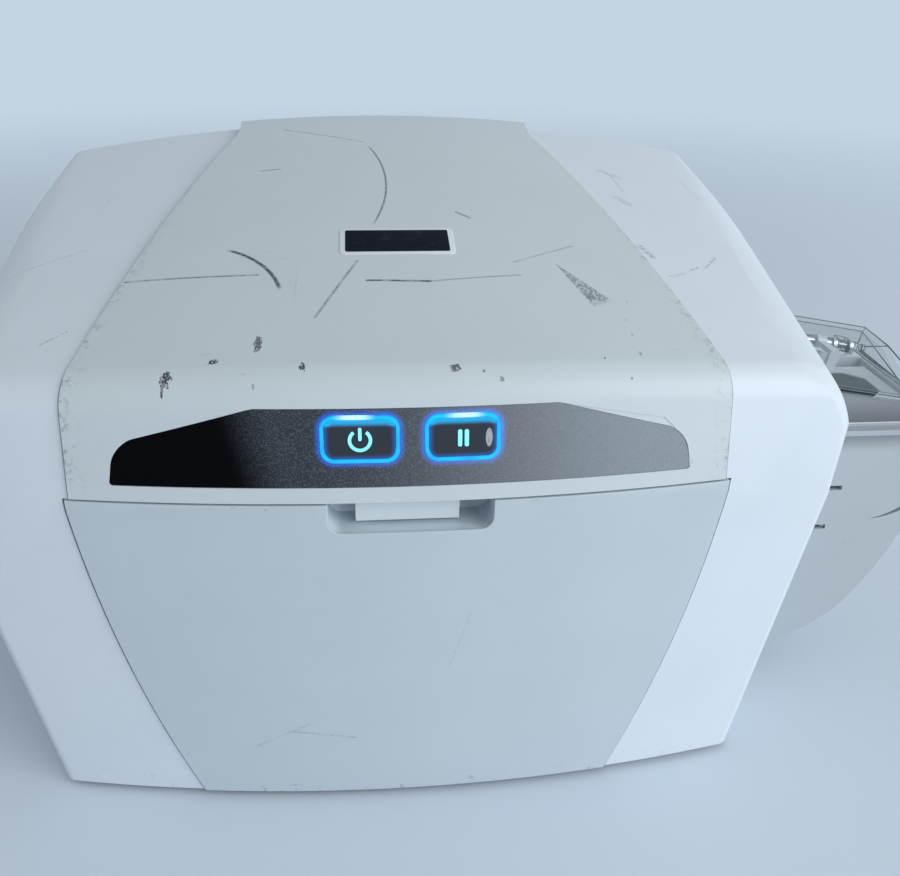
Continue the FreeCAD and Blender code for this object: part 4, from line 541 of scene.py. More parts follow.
def painted_band(name, left, middle, right):
    """Dark metallic paint with a painted reflection, black at its left end and pale grey at its right, and
    a painted glow from the button frames.
    """
    start = {"Coat Roughness": 0.12, "IOR": 1.5, "Emission Strength": 1.0, "Specular IOR Level": 0.04}
    finish = Finish(name, start)
    # Painted reflection: the colour runs from black on the left, where the band mirrors something dark, to
    # pale grey on the right, where it mirrors the lit room.
    turn = (finish.x + finish.z * 0.25 - 42.0).ramp(-64.0, -42.0)
    rise = (finish.x + 40.0).ramp(0.0, 130.0)
    flakes = finish.cells(0.30, 1)
    glint = flakes.node("ShaderNodeSeparateXYZ", None, {0: flakes}).ramp(0.60, 1.0)
    grain = finish.noise(0.5, 2.0, 0.6)
    body = turn.blend(rgba(left), rise.blend(rgba(middle), rgba(right)))
    body = (glint * turn * 0.22).blend(body, rgba((0.50, 0.52, 0.55)))
    finish.feed(Base_Color=(grain * 0.25).blend(body, rgba(left, 0.5)))
    finish.feed(Metallic=turn * 0.40, Roughness=0.30 + turn * 0.16 + grain * 0.10)
    finish.feed(Coat_Weight=turn * 0.25)
    # Painted glow that the button frames throw on the band.
    gap = finish.buttons_edge()
    halo = gap.ramp(4.6, 1.2) ** 1.6
    finish.feed(Emission_Color=halo.blend(rgba((0.0, 0.0, 0.0)), rgba((0.0, 0.10, 0.62))))
    finish.bump(grain, 0.012, 0.5)
    return finish.material


def key_cap(name, colour):
    """Dark button cap with light spilling over its edge, and a worn spot at the pause end."""
    finish = Finish(name, {"IOR": 1.49, "Emission Strength": 1.0})
    grain = finish.noise(0.4, 3.0, 0.6)
    worn = finish.away(WORN_SPOT, (1.0, 0.0, 0.36)).ramp(1.35, 1.05)
    rub = worn * (finish.noise(1.2, 3.0).ramp(0.30, 0.50) * 0.4 + 0.5)
    body = grain.blend(rgba(colour, 0.75), rgba(colour))
    finish.feed(Base_Color=rub.blend(body, rgba((0.46, 0.49, 0.51))))
    finish.feed(Roughness=0.24 + grain * 0.12 + rub * 0.3)
    gap = finish.buttons_edge()
    spill = gap.ramp(-2.6, 0.4) ** 2.0
    brow = (finish.z - CAP_BROW_Z).ramp(0.0, 1.2) * gap.ramp(-3.2, -0.4)
    lit = (brow * 0.8).blend(rgba((0.0, 0.10, 0.42)), rgba((0.0, 0.46, 0.85)))
    finish.feed(Emission_Color=spill.most(brow).blend(rgba((0.0, 0.002, 0.006)), lit))
    finish.bump(grain, 0.015, 0.5)
    return finish.material


def ring_light(name, deep, core):
    """Light guide round a button: blue at its edges, cyan along its middle, white near its lamp."""
    finish = Finish(name, {"Roughness": 0.30, "Emission Strength": 1.05})
    grain = finish.noise(0.9, 3.0)
    finish.feed(Base_Color=grain.blend(rgba(deep, 0.8), rgba(deep)))
    gap = finish.buttons_edge()
    middle = abs(gap - 0.8).ramp(1.0, 0.45)
    first, second = (finish.away(spot, (0.32, 0.0, 1.0)) for spot in GLOW_SPOTS)
    hot = first.least(second).ramp(2.6, 0.6)
    cool = finish.noise(6.0, 1.0).ramp(0.30, 0.70)
    line = (middle * (cool * 0.35 + 0.65)).blend(rgba(deep), rgba(core))
    finish.feed(Emission_Color=hot.blend(line, rgba((0.62, 0.98, 1.0))))
    return finish.material


def lit_sign(name, colour):
    """Translucent sign lit from behind, brighter on one side."""
    finish = Finish(name, {"Roughness": 0.35, "Emission Strength": 1.0})
    grain = finish.noise(1.4, 2.0)
    finish.feed(Base_Color=grain.blend(rgba(colour, 0.7), rgba(colour)))
    bright = (finish.z - SIGN_FOOT_Z).ramp(-2.0, 6.0) * 0.5 + grain * 0.5
    finish.feed(Emission_Color=bright.blend(rgba(colour, 0.55), rgba(colour)))
    return finish.material


def sheet_metal(name, colour, rough, stretch=(0.06, 1.0, 1.0), depth=0.008):
    """Rolled or plated metal with its brush lines along one axis."""
    finish = Finish(name, {"Metallic": 1.0})
    lines = finish.noise(0.35, 3.0, 0.6, stretch=stretch)
    cloud = finish.noise(18.0, 3.0)
    stain = finish.noise(7.0, 5.0, 0.7).ramp(0.55, 0.75)
    body = cloud.blend(rgba(colour, 0.85), rgba(colour))
    finish.feed(Base_Color=(stain * 0.25).blend(body, rgba(colour, 0.55)))
    finish.feed(Roughness=lines * 0.14 + cloud * 0.10 + rough - 0.12 + stain * 0.10)
    finish.bump(lines, depth, 0.6)
    return finish.material


def soft_rubber(name, colour, rough=0.72):
    """Matt rubber with a fine ground surface and paper dust."""
    finish = Finish(name, {"IOR": 1.52, "Specular IOR Level": 0.04})
    grain = finish.noise(0.35, 3.0, 0.7)
    dust = finish.noise(6.0, 5.0, 0.75).ramp(0.52, 0.72)
    body = grain.blend(rgba(colour, 0.7), rgba(colour))
    finish.feed(Base_Color=(dust * 0.05).blend(body, rgba((0.45, 0.45, 0.45))))
    finish.feed(Roughness=grain * 0.12 + rough + dust * 0.08)
    finish.bump(grain, 0.02, 0.7)
    return finish.material


def circuit_board(name, mask, copper):
    """Solder mask with tracks and tinned pads that show through it."""
    finish = Finish(name, {"Coat Weight": 0.3, "Coat Roughness": 0.2})
    tracks = finish.cells(7.0).ramp(0.42, 0.46)
    pitches = finish.x / TRACK_PITCH
    fine = abs(pitches.work("FRACT", pitches) - 0.5).ramp(0.34, 0.30)
    lines = fine * finish.noise(15.0, 1.0).ramp(0.50, 0.53)
    pads = finish.cells(2.6).ramp(0.22, 0.19) * finish.noise(9.0, 1.0).ramp(0.55, 0.6)
    body = (tracks * 0.25 + lines * 0.35).least(0.5).blend(rgba(mask), rgba(mask, 2.2))
    finish.feed(Base_Color=pads.blend(body, rgba(copper)), Metallic=pads * 0.9)
    finish.feed(Roughness=0.38 - pads * 0.1 + finish.noise(2.0) * 0.1)
    finish.bump(pads.most(lines * 0.5), 0.03, 0.6)
    return finish.material


def clear_moulding(name, tint):
    """Clear polycarbonate, darker where it is seen edge on, with fine handling scratches."""
    finish = Finish(name, {"IOR": 1.45, "Specular IOR Level": 0.6})
    scratches = finish.noise(1.2, 4.0, 0.7, stretch=(0.15, 1.0, 1.0)).ramp(0.58, 0.72)
    haze = finish.noise(9.0, 3.0)
    finish.feed(Base_Color=haze.blend(rgba(tint, 0.8), rgba(tint)))
    finish.feed(Roughness=0.10 + haze * 0.06 + scratches * 0.20)
    edge_on = haze.node("ShaderNodeLayerWeight", None, {"Blend": 0.35}, 1)
    finish.feed(Alpha=0.05 + edge_on ** 3.0 * 0.85 + scratches * 0.04)
    return finish.material


def dyed_film(name, colour):
    """Ribbon film wound in bands of colour panels and a clear overlay."""
    finish = Finish(name, {"Coat Weight": 0.5, "Coat Roughness": 0.1, "IOR": 1.55})
    round_it = finish.noise(0.6, 2.0, 0.5, stretch=(1.0, 0.02, 1.0))
    bands = finish.noise(5.0, 2.0, 0.5, stretch=(1.0, 0.0, 1.0))
    body = bands.ramp(0.4, 0.6).blend(rgba(colour), rgba((0.30, 0.16, 0.03)))
    finish.feed(Base_Color=(round_it * 0.5).blend(body, rgba(colour, 0.4)))
    finish.feed(Roughness=0.16 + round_it * 0.18)
    finish.bump(round_it, 0.01, 0.5)
    return finish.material


def floor_finish(name, colour):
    """Pale table top that fades into the backdrop far from the printer."""
    finish = Finish(name, {"Specular IOR Level": 0.3})
    cloud = finish.noise(420.0, 3.0)
    grain = finish.noise(3.0, 3.0)
    finish.feed(Base_Color=cloud.blend(rgba(colour, 0.985), rgba(colour)))
    finish.feed(Roughness=0.55 + grain * 0.1)
    finish.feed(Alpha=finish.away((0.0, 0.0, 0.0)).ramp(*FLOOR_FADE))
    return finish.material


# Sizes and colours that a user may change


class PrinterColours(bpy.types.PropertyGroup):
    """Main colours of the printer."""

    shell: FloatVectorProperty(
        name="Side covers", description="Colour of the two white side covers",
        subtype="COLOR", size=3, min=0.0, max=1.0, default=(0.71, 0.77, 0.835),
    )
    lid: FloatVectorProperty(
        name="Lid", description="Colour of the lid's grey moulding",
        subtype="COLOR", size=3, min=0.0, max=1.0, default=(0.605, 0.67, 0.70),
    )
    panel: FloatVectorProperty(
        name="Front panel", description="Colour of the lower front and of the rear panel",
        subtype="COLOR", size=3, min=0.0, max=1.0, default=(0.55, 0.62, 0.67),
    )
    # The three band colours are the band's dark metallic paint with a painted reflection: black at the left
    # end, pale grey at the right.
    band_reflection_left: FloatVectorProperty(
        name="Band, left end", description="Paint at the left end of the control band",
        subtype="COLOR", size=3, min=0.0, max=1.0, default=(0.002, 0.002, 0.003),
    )
    band_reflection_middle: FloatVectorProperty(
        name="Band, middle", description="Paint of the control band between its buttons",
        subtype="COLOR", size=3, min=0.0, max=1.0, default=(0.045, 0.055, 0.066),
    )
    band_reflection_right: FloatVectorProperty(
        name="Band, right end", description="Paint at the right end of the control band",
        subtype="COLOR", size=3, min=0.0, max=1.0, default=(0.30, 0.33, 0.36),
    )
    glow_edge: FloatVectorProperty(
        name="Button light, edge", description="Colour at the edges of the light frames",
        subtype="COLOR", size=3, min=0.0, max=1.0, default=(0.0, 0.11, 0.95),
    )
    glow_core: FloatVectorProperty(
        name="Button light, core", description="Colour along the middle of the light frames",
        subtype="COLOR", size=3, min=0.0, max=1.0, default=(0.0, 0.52, 0.95),
    )
    floor: FloatVectorProperty(
        name="Floor", description="Colour of the floor that the printer stands on",
        subtype="COLOR", size=3, min=0.0, max=1.0, default=(0.70, 0.78, 0.87),
    )
    backdrop: FloatVectorProperty(
        name="Backdrop", description="Colour of the far background",
        subtype="COLOR", size=3, min=0.0, max=1.0, default=(0.55, 0.66, 0.77),
    )


class PrinterSizes(bpy.types.PropertyGroup):
    """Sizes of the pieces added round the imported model."""

    lid_round: FloatProperty(
        name="Lid edge", description="Rounding of the lid's and the front panel's edges",
        default=1.1 * MM, min=0.1 * MM, max=3.0 * MM, unit="LENGTH",
    )
    shell_round: FloatProperty(
        name="Cover edge", description="Rounding of the side covers' edges",
        default=1.2 * MM, min=0.1 * MM, max=3.0 * MM, unit="LENGTH",
    )
    shoulder_round: FloatProperty(
        name="Shoulder", description="Width of the rounding along the side covers' shoulders",
        default=13.0 * MM, min=1.0 * MM, max=14.0 * MM, unit="LENGTH",
    )
    front_round: FloatProperty(
        name="Front corners", description="Width of the rounding where front and flanks meet",
        default=4.6 * MM, min=0.5 * MM, max=6.0 * MM, unit="LENGTH",
    )
    round_steps: IntProperty(
        name="Rounding steps", description="Faces across each rounded edge",
        default=3, min=1, max=6,
    )
    badge_width: FloatProperty(
        name="Badge width", description="Width of the bare badge on the lid",
        default=47.0 * MM, min=20.0 * MM, max=60.0 * MM, unit="LENGTH",
    )
    badge_height: FloatProperty(
        name="Badge height", description="Height of the bare badge, along the lid",
        default=21.5 * MM, min=5.0 * MM, max=30.0 * MM, unit="LENGTH",
    )
    icon_size: FloatProperty(
        name="Icon size", description="Width of the power sign on its button",
        default=8.4 * MM, min=3.0 * MM, max=12.0 * MM, unit="LENGTH",
    )
    screw_head: FloatProperty(
        name="Screw head", description="Diameter of the screw heads on the rear panel",
        default=6.0 * MM, min=3.0 * MM, max=9.0 * MM, unit="LENGTH",
    )


class PrinterLights(bpy.types.PropertyGroup):
    """Studio lights and camera."""

    key: FloatProperty(
        name="Key light", description="Power of the large lamp before the printer's right front",
        default=45.0, min=0.0, max=200.0, subtype="POWER",
    )
    fill: FloatProperty(
        name="Fill light", description="Power of the two lamps at the sides",
        default=2.0, min=0.0, max=200.0, subtype="POWER",
    )
    room: FloatProperty(
        name="Room light", description="Strength of the light from all round",
        default=0.43, min=0.0, max=2.0,
    )
    lens: FloatProperty(
        name="Lens", description="Focal length of the camera on a 36 mm wide sensor",
        default=38.0, min=20.0, max=120.0, subtype="DISTANCE_CAMERA",
    )


# Modelling helpers


def leave():
    """Goes back to object mode."""
    if bpy.context.object and bpy.context.object.mode != "OBJECT":
        bpy.ops.object.mode_set(mode="OBJECT")


def only(piece):
    """Selects one piece alone, in object mode."""
    leave()
    bpy.ops.object.select_all(action="DESELECT")
    piece.select_set(True)
    bpy.context.view_layer.objects.active = piece


def edit_all(piece):
    """Opens a piece in edit mode, with all of it selected."""
    only(piece)
    bpy.ops.object.mode_set(mode="EDIT")
    bpy.ops.mesh.select_all(action="SELECT")


def started(name):
    """The primitive that was just added, under its own name."""
    piece = bpy.context.object
    piece.name = name
    piece.data.name = name
    return piece


def settle(piece):
    """Puts the piece's place, turn and scale into its mesh."""
    only(piece)
    bpy.ops.object.transform_apply(location=True, rotation=True, scale=True)


def apply(piece, kind, **settings):
    """Adds a modifier and applies it."""
    only(piece)
    modifier = piece.modifiers.new(kind.title(), kind)
    for key, value in settings.items():
        setattr(modifier, key, value)
    bpy.ops.object.modifier_apply(modifier=modifier.name)


def start_picking(piece, kind):
    """Deselects all of a piece, and sets whether its faces or its edges are picked."""
    edit_all(piece)
    bpy.ops.mesh.select_all(action="DESELECT")
    bpy.ops.mesh.select_mode(type=kind)
    leave()


def pick_faces(piece, test):
    """Selects the faces that pass a test on their middle and normal, in edit mode."""
    start_picking(piece, "FACE")
    for face in piece.data.polygons:
        face.select = test(face.center, face.normal)
    bpy.ops.object.mode_set(mode="EDIT")


def pick_edges(piece, test):
    """Selects the edges that pass a test on their two ends, in edit mode."""
    start_picking(piece, "EDGE")
    points = piece.data.vertices
    for edge in piece.data.edges:
        edge.select = test(*(points[i].co for i in edge.vertices))
    bpy.ops.object.mode_set(mode="EDIT")


def outward(piece):
    """Makes all the faces point outwards."""
    edit_all(piece)
    bpy.ops.mesh.normals_make_consistent(inside=False)
    leave()


def smooth(piece, degrees):
    """Shades a piece smooth, apart from edges sharper than an angle."""
    only(piece)
    bpy.ops.object.shade_smooth_by_angle(angle=math.radians(degrees))


def finish_piece(piece, material, body):
    """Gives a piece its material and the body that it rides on."""
    piece.data.materials.clear()
    piece.data.materials.append(material)
    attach(piece, body)


def twin(piece, name):
    """A copy with its own mesh."""
    only(piece)
    bpy.ops.object.duplicate()
    return started(name)


def body_copy(node, name):
    """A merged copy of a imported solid, to be rounded."""
    only(frame["nodes"][node])
    bpy.ops.object.duplicate()
    piece = started(name)
    piece.parent = None
    edit_all(piece)
    bpy.ops.mesh.remove_doubles(threshold=COPY_MERGE * MM)
    bpy.ops.mesh.dissolve_limited(angle_limit=FLAT_TURN)
    leave()
    return piece


def cut(piece, tool, operation="DIFFERENCE"):
    """Cuts one piece with another, which is then removed."""
    apply(piece, "BOOLEAN", object=tool, operation=operation, solver="EXACT")
    bpy.data.objects.remove(tool)


def block(name, middle, size):
    """Box round a middle, in millimetres."""
    bpy.ops.mesh.primitive_cube_add(size=1.0)
    piece = started(name)
    piece.scale = [side * MM for side in size]
    piece.location = [place * MM for place in middle]
    settle(piece)
    return piece


def sheet(name, width, height):
    """Flat rectangle round the origin, of that size in metres."""
    bpy.ops.mesh.primitive_plane_add(size=1.0)
    piece = started(name)
    piece.scale = (width, height, 1.0)
    settle(piece)
    return piece


def band_outline(grow):
    """Upright prism with the control band's outline: sloping shoulders and round ends."""
    low = BAND_Z[0] - grow
    high = BAND_Z[1] + grow
    half = BAND_END_HALF + grow
    middle = (0.0, THROUGH_Y, (low + high) / 2)
    piece = block("band_outline", middle, (2 * half, THROUGH_DEPTH, high - low))
    slope = Vector((BAND_END_HALF - BAND_TOP_HALF, 0.0, BAND_SHOULDER_Z - BAND_Z[1])).normalized()
    shoulders = (BAND_TOP_HALF, high, -slope.z, slope.x)
    ends = (half, low, math.cos(BAND_END_LEAN), math.sin(BAND_END_LEAN))
    for x, z, aside, upward in (shoulders, ends):
        for side in (-1, 1):
            edit_all(piece)
            bpy.ops.mesh.bisect(
                plane_co=(side * x * MM, 0.0, z * MM), plane_no=(side * aside, 0.0, upward),
                use_fill=True, clear_outer=True,
            )
            leave()

    def at_end(a, b):
        outer = min(abs(a.x), abs(b.x)) > (half - BAND_CORNER_REACH) * MM
        return outer and abs(a.y - b.y) > LONG_EDGE * MM

    above_foot = (BAND_Z[0] + BAND_CORNER_REACH) * MM
    pick_edges(piece, lambda a, b: at_end(a, b) and a.z > above_foot)
    bpy.ops.mesh.bevel(offset=(BAND_SHOULDER_ROUND + grow) * MM, segments=9, clamp_overlap=False)
    pick_edges(piece, lambda a, b: at_end(a, b) and a.z < (low + BAND_FOOT_REACH) * MM)
    bpy.ops.mesh.bevel(offset=(BAND_FOOT_ROUND + grow) * MM, segments=4, clamp_overlap=False)
    outward(piece)
    return piece


def button_hole(x, grow):
    """Rounded block that opens the band for a button and its light frame."""
    wide, high = (pair[1] - pair[0] + 2 * grow for pair in (x, BUTTON_Z))
    middle = (sum(x) / 2, THROUGH_Y, sum(BUTTON_Z) / 2)
    piece = block("button_hole", middle, (wide, THROUGH_DEPTH, high))
    pick_edges(piece, lambda a, b: abs(a.y - b.y) > LONG_EDGE * MM)
    bpy.ops.mesh.bevel(offset=(BUTTON_CORNER + grow) * MM, segments=7)
    leave()
    return piece


def bowed_slab(name, outer, inner):
    """Slab that follows the lid's leaning, bowed front between two depths in millimetres."""
    piece = sheet(name, (inner - outer) * MM, SLAB_HEIGHT * MM)
    piece.rotation_euler = (math.pi / 2, 0.0, math.pi / 2)
    settle(piece)
    up = Vector((0.0, math.sin(LEAN), math.cos(LEAN)))
    inward = Vector((0.0, math.cos(LEAN), -math.sin(LEAN)))
    middle = FRONT_FOOT + up * (SLAB_HEIGHT / 2) + inward * ((outer + inner) / 2)
    start = Matrix.Translation(BOW_CENTRE * MM) @ Matrix.Rotation(BOW_HALF, 4, BOW_AXIS)
    place = Matrix.Translation((middle - BOW_CENTRE) * MM) @ Matrix.Rotation(-LEAN, 4, "X")
    piece.matrix_world = start @ place
    settle(piece)
    edit_all(piece)
    bpy.ops.mesh.spin(steps=BOW_STEPS, angle=2 * BOW_HALF, center=BOW_CENTRE * MM, axis=BOW_AXIS)
    edit_all(piece)
    bpy.ops.mesh.remove_doubles(threshold=SLAB_MERGE * MM)
    outward(piece)
    return piece


def move_recess(lid):
    """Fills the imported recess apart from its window, and cuts one with the band's outline."""
    filler = bowed_slab("filler", *FILLER_DEPTHS)
    cut(filler, band_outline(FILLER_GROW), "INTERSECT")
    shave(filler, [(Vector((0.0, 0.0, BAND_Z[1] + FILLER_TOP)) * MM, Vector((0.0, 0.0, 1.0)))])
    window = button_hole(POWER_X, WINDOW_GROW)
    cut(window, button_hole(PAUSE_X, WINDOW_GROW), "UNION")
    cut(filler, window)
    cut(lid, filler, "UNION")
    recess = bowed_slab("recess", *RECESS_DEPTHS)
    cut(recess, band_outline(RECESS_GROW), "INTERSECT")
    cut(lid, recess)


def outer_edges(piece):
    """Long outer edges of a side cover: middle, front or roof normal, flank normal."""
    sides = {}
    for face in piece.data.polygons:
        for key in face.edge_keys:
            sides.setdefault(key, []).append(face.normal)
    found = []
    points = piece.data.vertices
    for edge in piece.data.edges:
        a, b = (points[i].co for i in edge.vertices)
        pair = sides[edge.key]
        inner = min(abs(a.x), abs(b.x)) < OUTER_EDGE_X * MM
        if inner or (a - b).length < SHORT_EDGE * MM or len(pair) != 2:
            continue
        skin, flank = sorted(pair, key=lambda normal: abs(normal.x))
        turn = skin.angle(flank, 0.0)
        middle = (a + b) / 2
        faces_out = flank.x * middle.x > FLANK_NORMAL_X * abs(middle.x)
        on_roof = skin.z > ROOF_NORMAL_Z
        on_skin = abs(skin.x) < SKIN_NORMAL_X and (on_roof or middle.y < FRONT_EDGE_Y * MM)
        if faces_out and on_skin and EDGE_TURNS[0] < turn < EDGE_TURNS[1]:
            found.append((middle, skin.copy(), flank.copy()))
    return found


def ball_planes(edges, shoulder, front):
    """Planes that touch a ball rolled along the edges, wider on the roof and never through the wall."""
    planes = []
    for middle, skin, flank in edges:
        turn = skin.angle(flank)
        rise = min(max(skin.z / FULL_ROUND_NORMAL_Z, 0.0), 1.0)
        wished = (front + (shoulder - front) * rise) / math.tan(turn / 2)
        radius = min(wished, COVER_WALL * COVER_WALL_SHARE * MM / (1.0 - math.cos(turn / 2)))
        centre = middle - (skin + flank).normalized() * radius / math.cos(turn / 2)
        count = max(LEAST_FACETS, round(math.degrees(turn) / FACET_DEGREES))
        for i in range(1, count):
            normal = skin.slerp(flank, i / count)
            planes.append((centre + normal * radius, normal))
    return planes


def shave(piece, planes):
    """Cuts away what lies outside each plane."""
    edit_all(piece)
    for point, normal in planes:
        bpy.ops.mesh.bisect(
            plane_co=point, plane_no=normal, use_fill=True, clear_outer=True,
            threshold=SHAVE_REACH * MM,
        )
        bpy.ops.mesh.select_all(action="SELECT")
    bpy.ops.mesh.remove_doubles(threshold=SHAVE_MERGE * MM)
    bpy.ops.mesh.dissolve_degenerate(threshold=SHAVE_MERGE * MM)
    leave()


def rounded_shell(piece, width, steps):
    """Rounds the sharp edges of a copied shell."""
    apply(
        piece, "BEVEL", width=width, segments=steps, limit_method="ANGLE",
        angle_limit=SHARP_TURN, use_clamp_overlap=True, miter_outer="MITER_ARC",
        harden_normals=False, loop_slide=True,
    )
    smooth(piece, SHELL_DEGREES)
    apply(piece, "WEIGHTED_NORMAL", mode="FACE_AREA", weight=50, keep_sharp=True)


def on_front(x, z, lift):
    """Point just off the lid's leaning front."""
    y = FRONT_FOOT.y - lift + (z - FRONT_FOOT.z) * math.tan(LEAN)
    return Vector((x * MM, y * MM, z * MM))


def ring_sign(name, centre, size, thick, tilt):
    """Flat ring with an open top, as on a power sign."""
    bpy.ops.mesh.primitive_circle_add(vertices=48, radius=size / 2, fill_type="NGON")
    piece = started(name)
    edit_all(piece)
    bpy.ops.mesh.inset(thickness=thick)
    bpy.ops.mesh.delete(type="FACE")

    def in_gap(middle, normal):
        return abs(math.atan2(middle.x, middle.y)) < math.radians(SIGN_GAP_DEGREES)

    pick_faces(piece, in_gap)
    bpy.ops.mesh.delete(type="FACE")
    stand(piece, centre, tilt)
    return piece


def bar_sign(name, centre, width, height, tilt):
    """Upright bar with rounded ends."""
    piece = sheet(name, width, height)
    edit_all(piece)
    bpy.ops.mesh.bevel(offset=width * BAR_ROUND_SHARE, segments=3, affect="VERTICES")
    stand(piece, centre, tilt)
    return piece


def stand(piece, centre, tilt):
    """Gives a flat sign its thickness and sets it on a leaning face."""
    edit_all(piece)
    bpy.ops.mesh.extrude_region_move(TRANSFORM_OT_translate={"value": (0.0, 0.0, SIGN_THICK * MM)})
    leave()
    piece.rotation_euler = (tilt, 0.0, 0.0)
    piece.location = centre
    settle(piece)
    outward(piece)


def pan_screw(name, head):
    """Pan head with a cross recess, standing on the XY plane with its head up."""
    high = head * HEAD_HIGH_SHARE
    bpy.ops.mesh.primitive_cylinder_add(vertices=32, radius=head / 2, depth=high)
    piece = started(name)
    piece.location = (0.0, 0.0, high / 2)
    settle(piece)
    pick_faces(piece, lambda middle, normal: normal.z > 0.9)
    bpy.ops.mesh.bevel(offset=head * HEAD_ROUND_SHARE, segments=4)
    leave()
    for turn in (0.0, math.pi / 2):
        bpy.ops.mesh.primitive_cube_add(size=1.0)
        blade = started("recess")
        blade.scale = [head * share for share in CROSS_SHARES]
        blade.rotation_euler = (0.0, 0.0, turn)
        blade.location = (0.0, 0.0, high)
        settle(blade)
        cut(piece, blade)
    smooth(piece, PIECE_DEGREES)
    return piece


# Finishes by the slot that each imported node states


def all_finishes(colours):
    """The materials, under the names of the record's slots."""
    across = (1.0, 0.1, 1.0)
    return {
        "white_shell": moulded("white_cover_moulding", colours.shell, 0.7, 0.40, 0.14, shell_marks),
        "lid_grey": moulded("lid_grey_moulding", colours.lid, 0.6, 0.42, 0.30, lid_marks),
        "panel_grey": moulded("panel_grey_moulding", colours.panel, 0.6, 0.44, 0.16, panel_marks),
        "band_black": painted_band(
            "control_band_paint", colours.band_reflection_left, colours.band_reflection_middle, colours.band_reflection_right,
        ),
        "light_ring": ring_light("button_light_guide", colours.glow_edge, colours.glow_core),
        "key_grey": key_cap("button_cap_dark", (0.022, 0.026, 0.034)),
        # The latch's pale grey is partly its own colour and partly painted light, lifting it out of the
        # finger pocket's shade.
        "latch_grey": moulded("latch_grey_moulding", (0.70, 0.77, 0.81), 0.5, 0.46, 0.8),
        "bin_grey": moulded("bin_grey_moulding", (0.45, 0.50, 0.53), 0.6, 0.40, 0.3, bin_marks),
        "clear_hood": clear_moulding("hopper_hood_clear", (0.26, 0.33, 0.34)),
        "steel": sheet_metal("zinc_plated_steel", (0.62, 0.63, 0.66), 0.34),
        "plate_metal": sheet_metal("plate_zinc", (0.55, 0.57, 0.60), 0.42, (1.0, 1.0, 0.05)),
        "head_metal": sheet_metal("print_head_cast", (0.58, 0.58, 0.60), 0.46, across, 0.02),
        "motor_metal": sheet_metal("motor_black_case", (0.055, 0.055, 0.06), 0.44, across, 0.02),
        "bush_brass": sheet_metal("turned_brass", (0.70, 0.52, 0.24), 0.30, (1.0, 0.08, 1.0)),
        "rubber": soft_rubber("roller_rubber", (0.016, 0.017, 0.019)),
        "cleaning_rubber": soft_rubber("cleaning_sleeve", (0.42, 0.05, 0.07), 0.40),
        "gear_nylon": moulded("gear_nylon", (0.78, 0.76, 0.68), 0.5, 0.34, 0.25),
        "board_green": circuit_board("circuit_board", (0.012, 0.10, 0.035), (0.62, 0.52, 0.30)),
        "dark_plastic": moulded("inner_dark_moulding", (0.05, 0.05, 0.055), 0.7, 0.46, 0.3),
        "cartridge_plastic": moulded("cartridge_moulding", (0.07, 0.08, 0.10), 0.5, 0.36, 0.2),
        "ribbon_colour": dyed_film("ribbon_dye_film", (0.16, 0.012, 0.08)),
    }


# The materials that the first operator makes, for those after it
FINISHES = {}


def slot_of(node):
    """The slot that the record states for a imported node."""
    for part in frame["record"]["subparts"]:
        if part["node"] == node:
            return part["material_slot"]
    raise RuntimeError(f"no slot for {node}")


# Operators


class PRINTER_OT_finishes(bpy.types.Operator):
    """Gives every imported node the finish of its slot"""

    bl_idname = "printer.finishes"
    bl_label = "Finish the packed nodes"

    def execute(self, context):
        FINISHES.update(all_finishes(context.scene.printer_colours))
        for name, node in frame["nodes"].items():
            node.data.materials.clear()
            node.data.materials.append(FINISHES[slot_of(name)])
        return {"FINISHED"}


class PRINTER_OT_shells(bpy.types.Operator):
    """Rounds the edges of the outer shells, and moves the lid's recess for the control band"""

    bl_idname = "printer.shells"
    bl_label = "Round the outer shells"

    def execute(self, context):
        sizes = context.scene.printer_sizes
        shells = (
            ("top_lid", "lid_shell", sizes.lid_round, "lid"),
            ("front_panel", "front_shell", sizes.lid_round, "housing"),
            ("left_cover", "left_shell", sizes.shell_round, "housing"),
            ("right_cover", "right_shell", sizes.shell_round, "housing"),
            ("output_bin", "bin_shell", sizes.lid_round * HOPPER_ROUND_SHARE, "housing"),
            ("hopper_bay", "bay_shell", sizes.lid_round * HOPPER_ROUND_SHARE, "housing"),
        )
        colour = context.scene.printer_colours.shell
        bay_finish = moulded("card_bay_moulding", colour, 0.7, 0.40, 0.14, bay_tint_and_shade)
        edges = outer_edges(body_copy("right_cover", "edge_guide"))
        bpy.data.objects.remove(bpy.data.objects["edge_guide"])
        planes = ball_planes(edges, sizes.shoulder_round, sizes.front_round)
        mirror = Matrix.Diagonal((-1.0, 1.0, 1.0))
        for node, name, width, body in shells:
            piece = body_copy(node, name)
            if node == "top_lid":
                move_recess(piece)
            if node == "right_cover":
                shave(piece, planes)
            if node == "left_cover":
                shave(piece, [(mirror @ point, mirror @ normal) for point, normal in planes])
            rounded_shell(piece, width, sizes.round_steps)
            slot = slot_of(node)
            finish = bay_finish if node == "hopper_bay" else FINISHES[slot]
            finish_piece(piece, finish, body)
            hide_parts(node)
        return {"FINISHED"}


class PRINTER_OT_band(bpy.types.Operator):
    """Lays the control band with its round shoulders in the lid's recess"""

    bl_idname = "printer.band"
    bl_label = "Lay the control band"

    def execute(self, context):
        band = bowed_slab("control_band", *BAND_DEPTHS)
        cut(band, band_outline(0.0), "INTERSECT")
        for x in (POWER_X, PAUSE_X):
            cut(band, button_hole(x, HOLE_GROW))
        smooth(band, PIECE_DEGREES)
        finish_piece(band, FINISHES["band_black"], "lid")
        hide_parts("control_inlay")
        return {"FINISHED"}


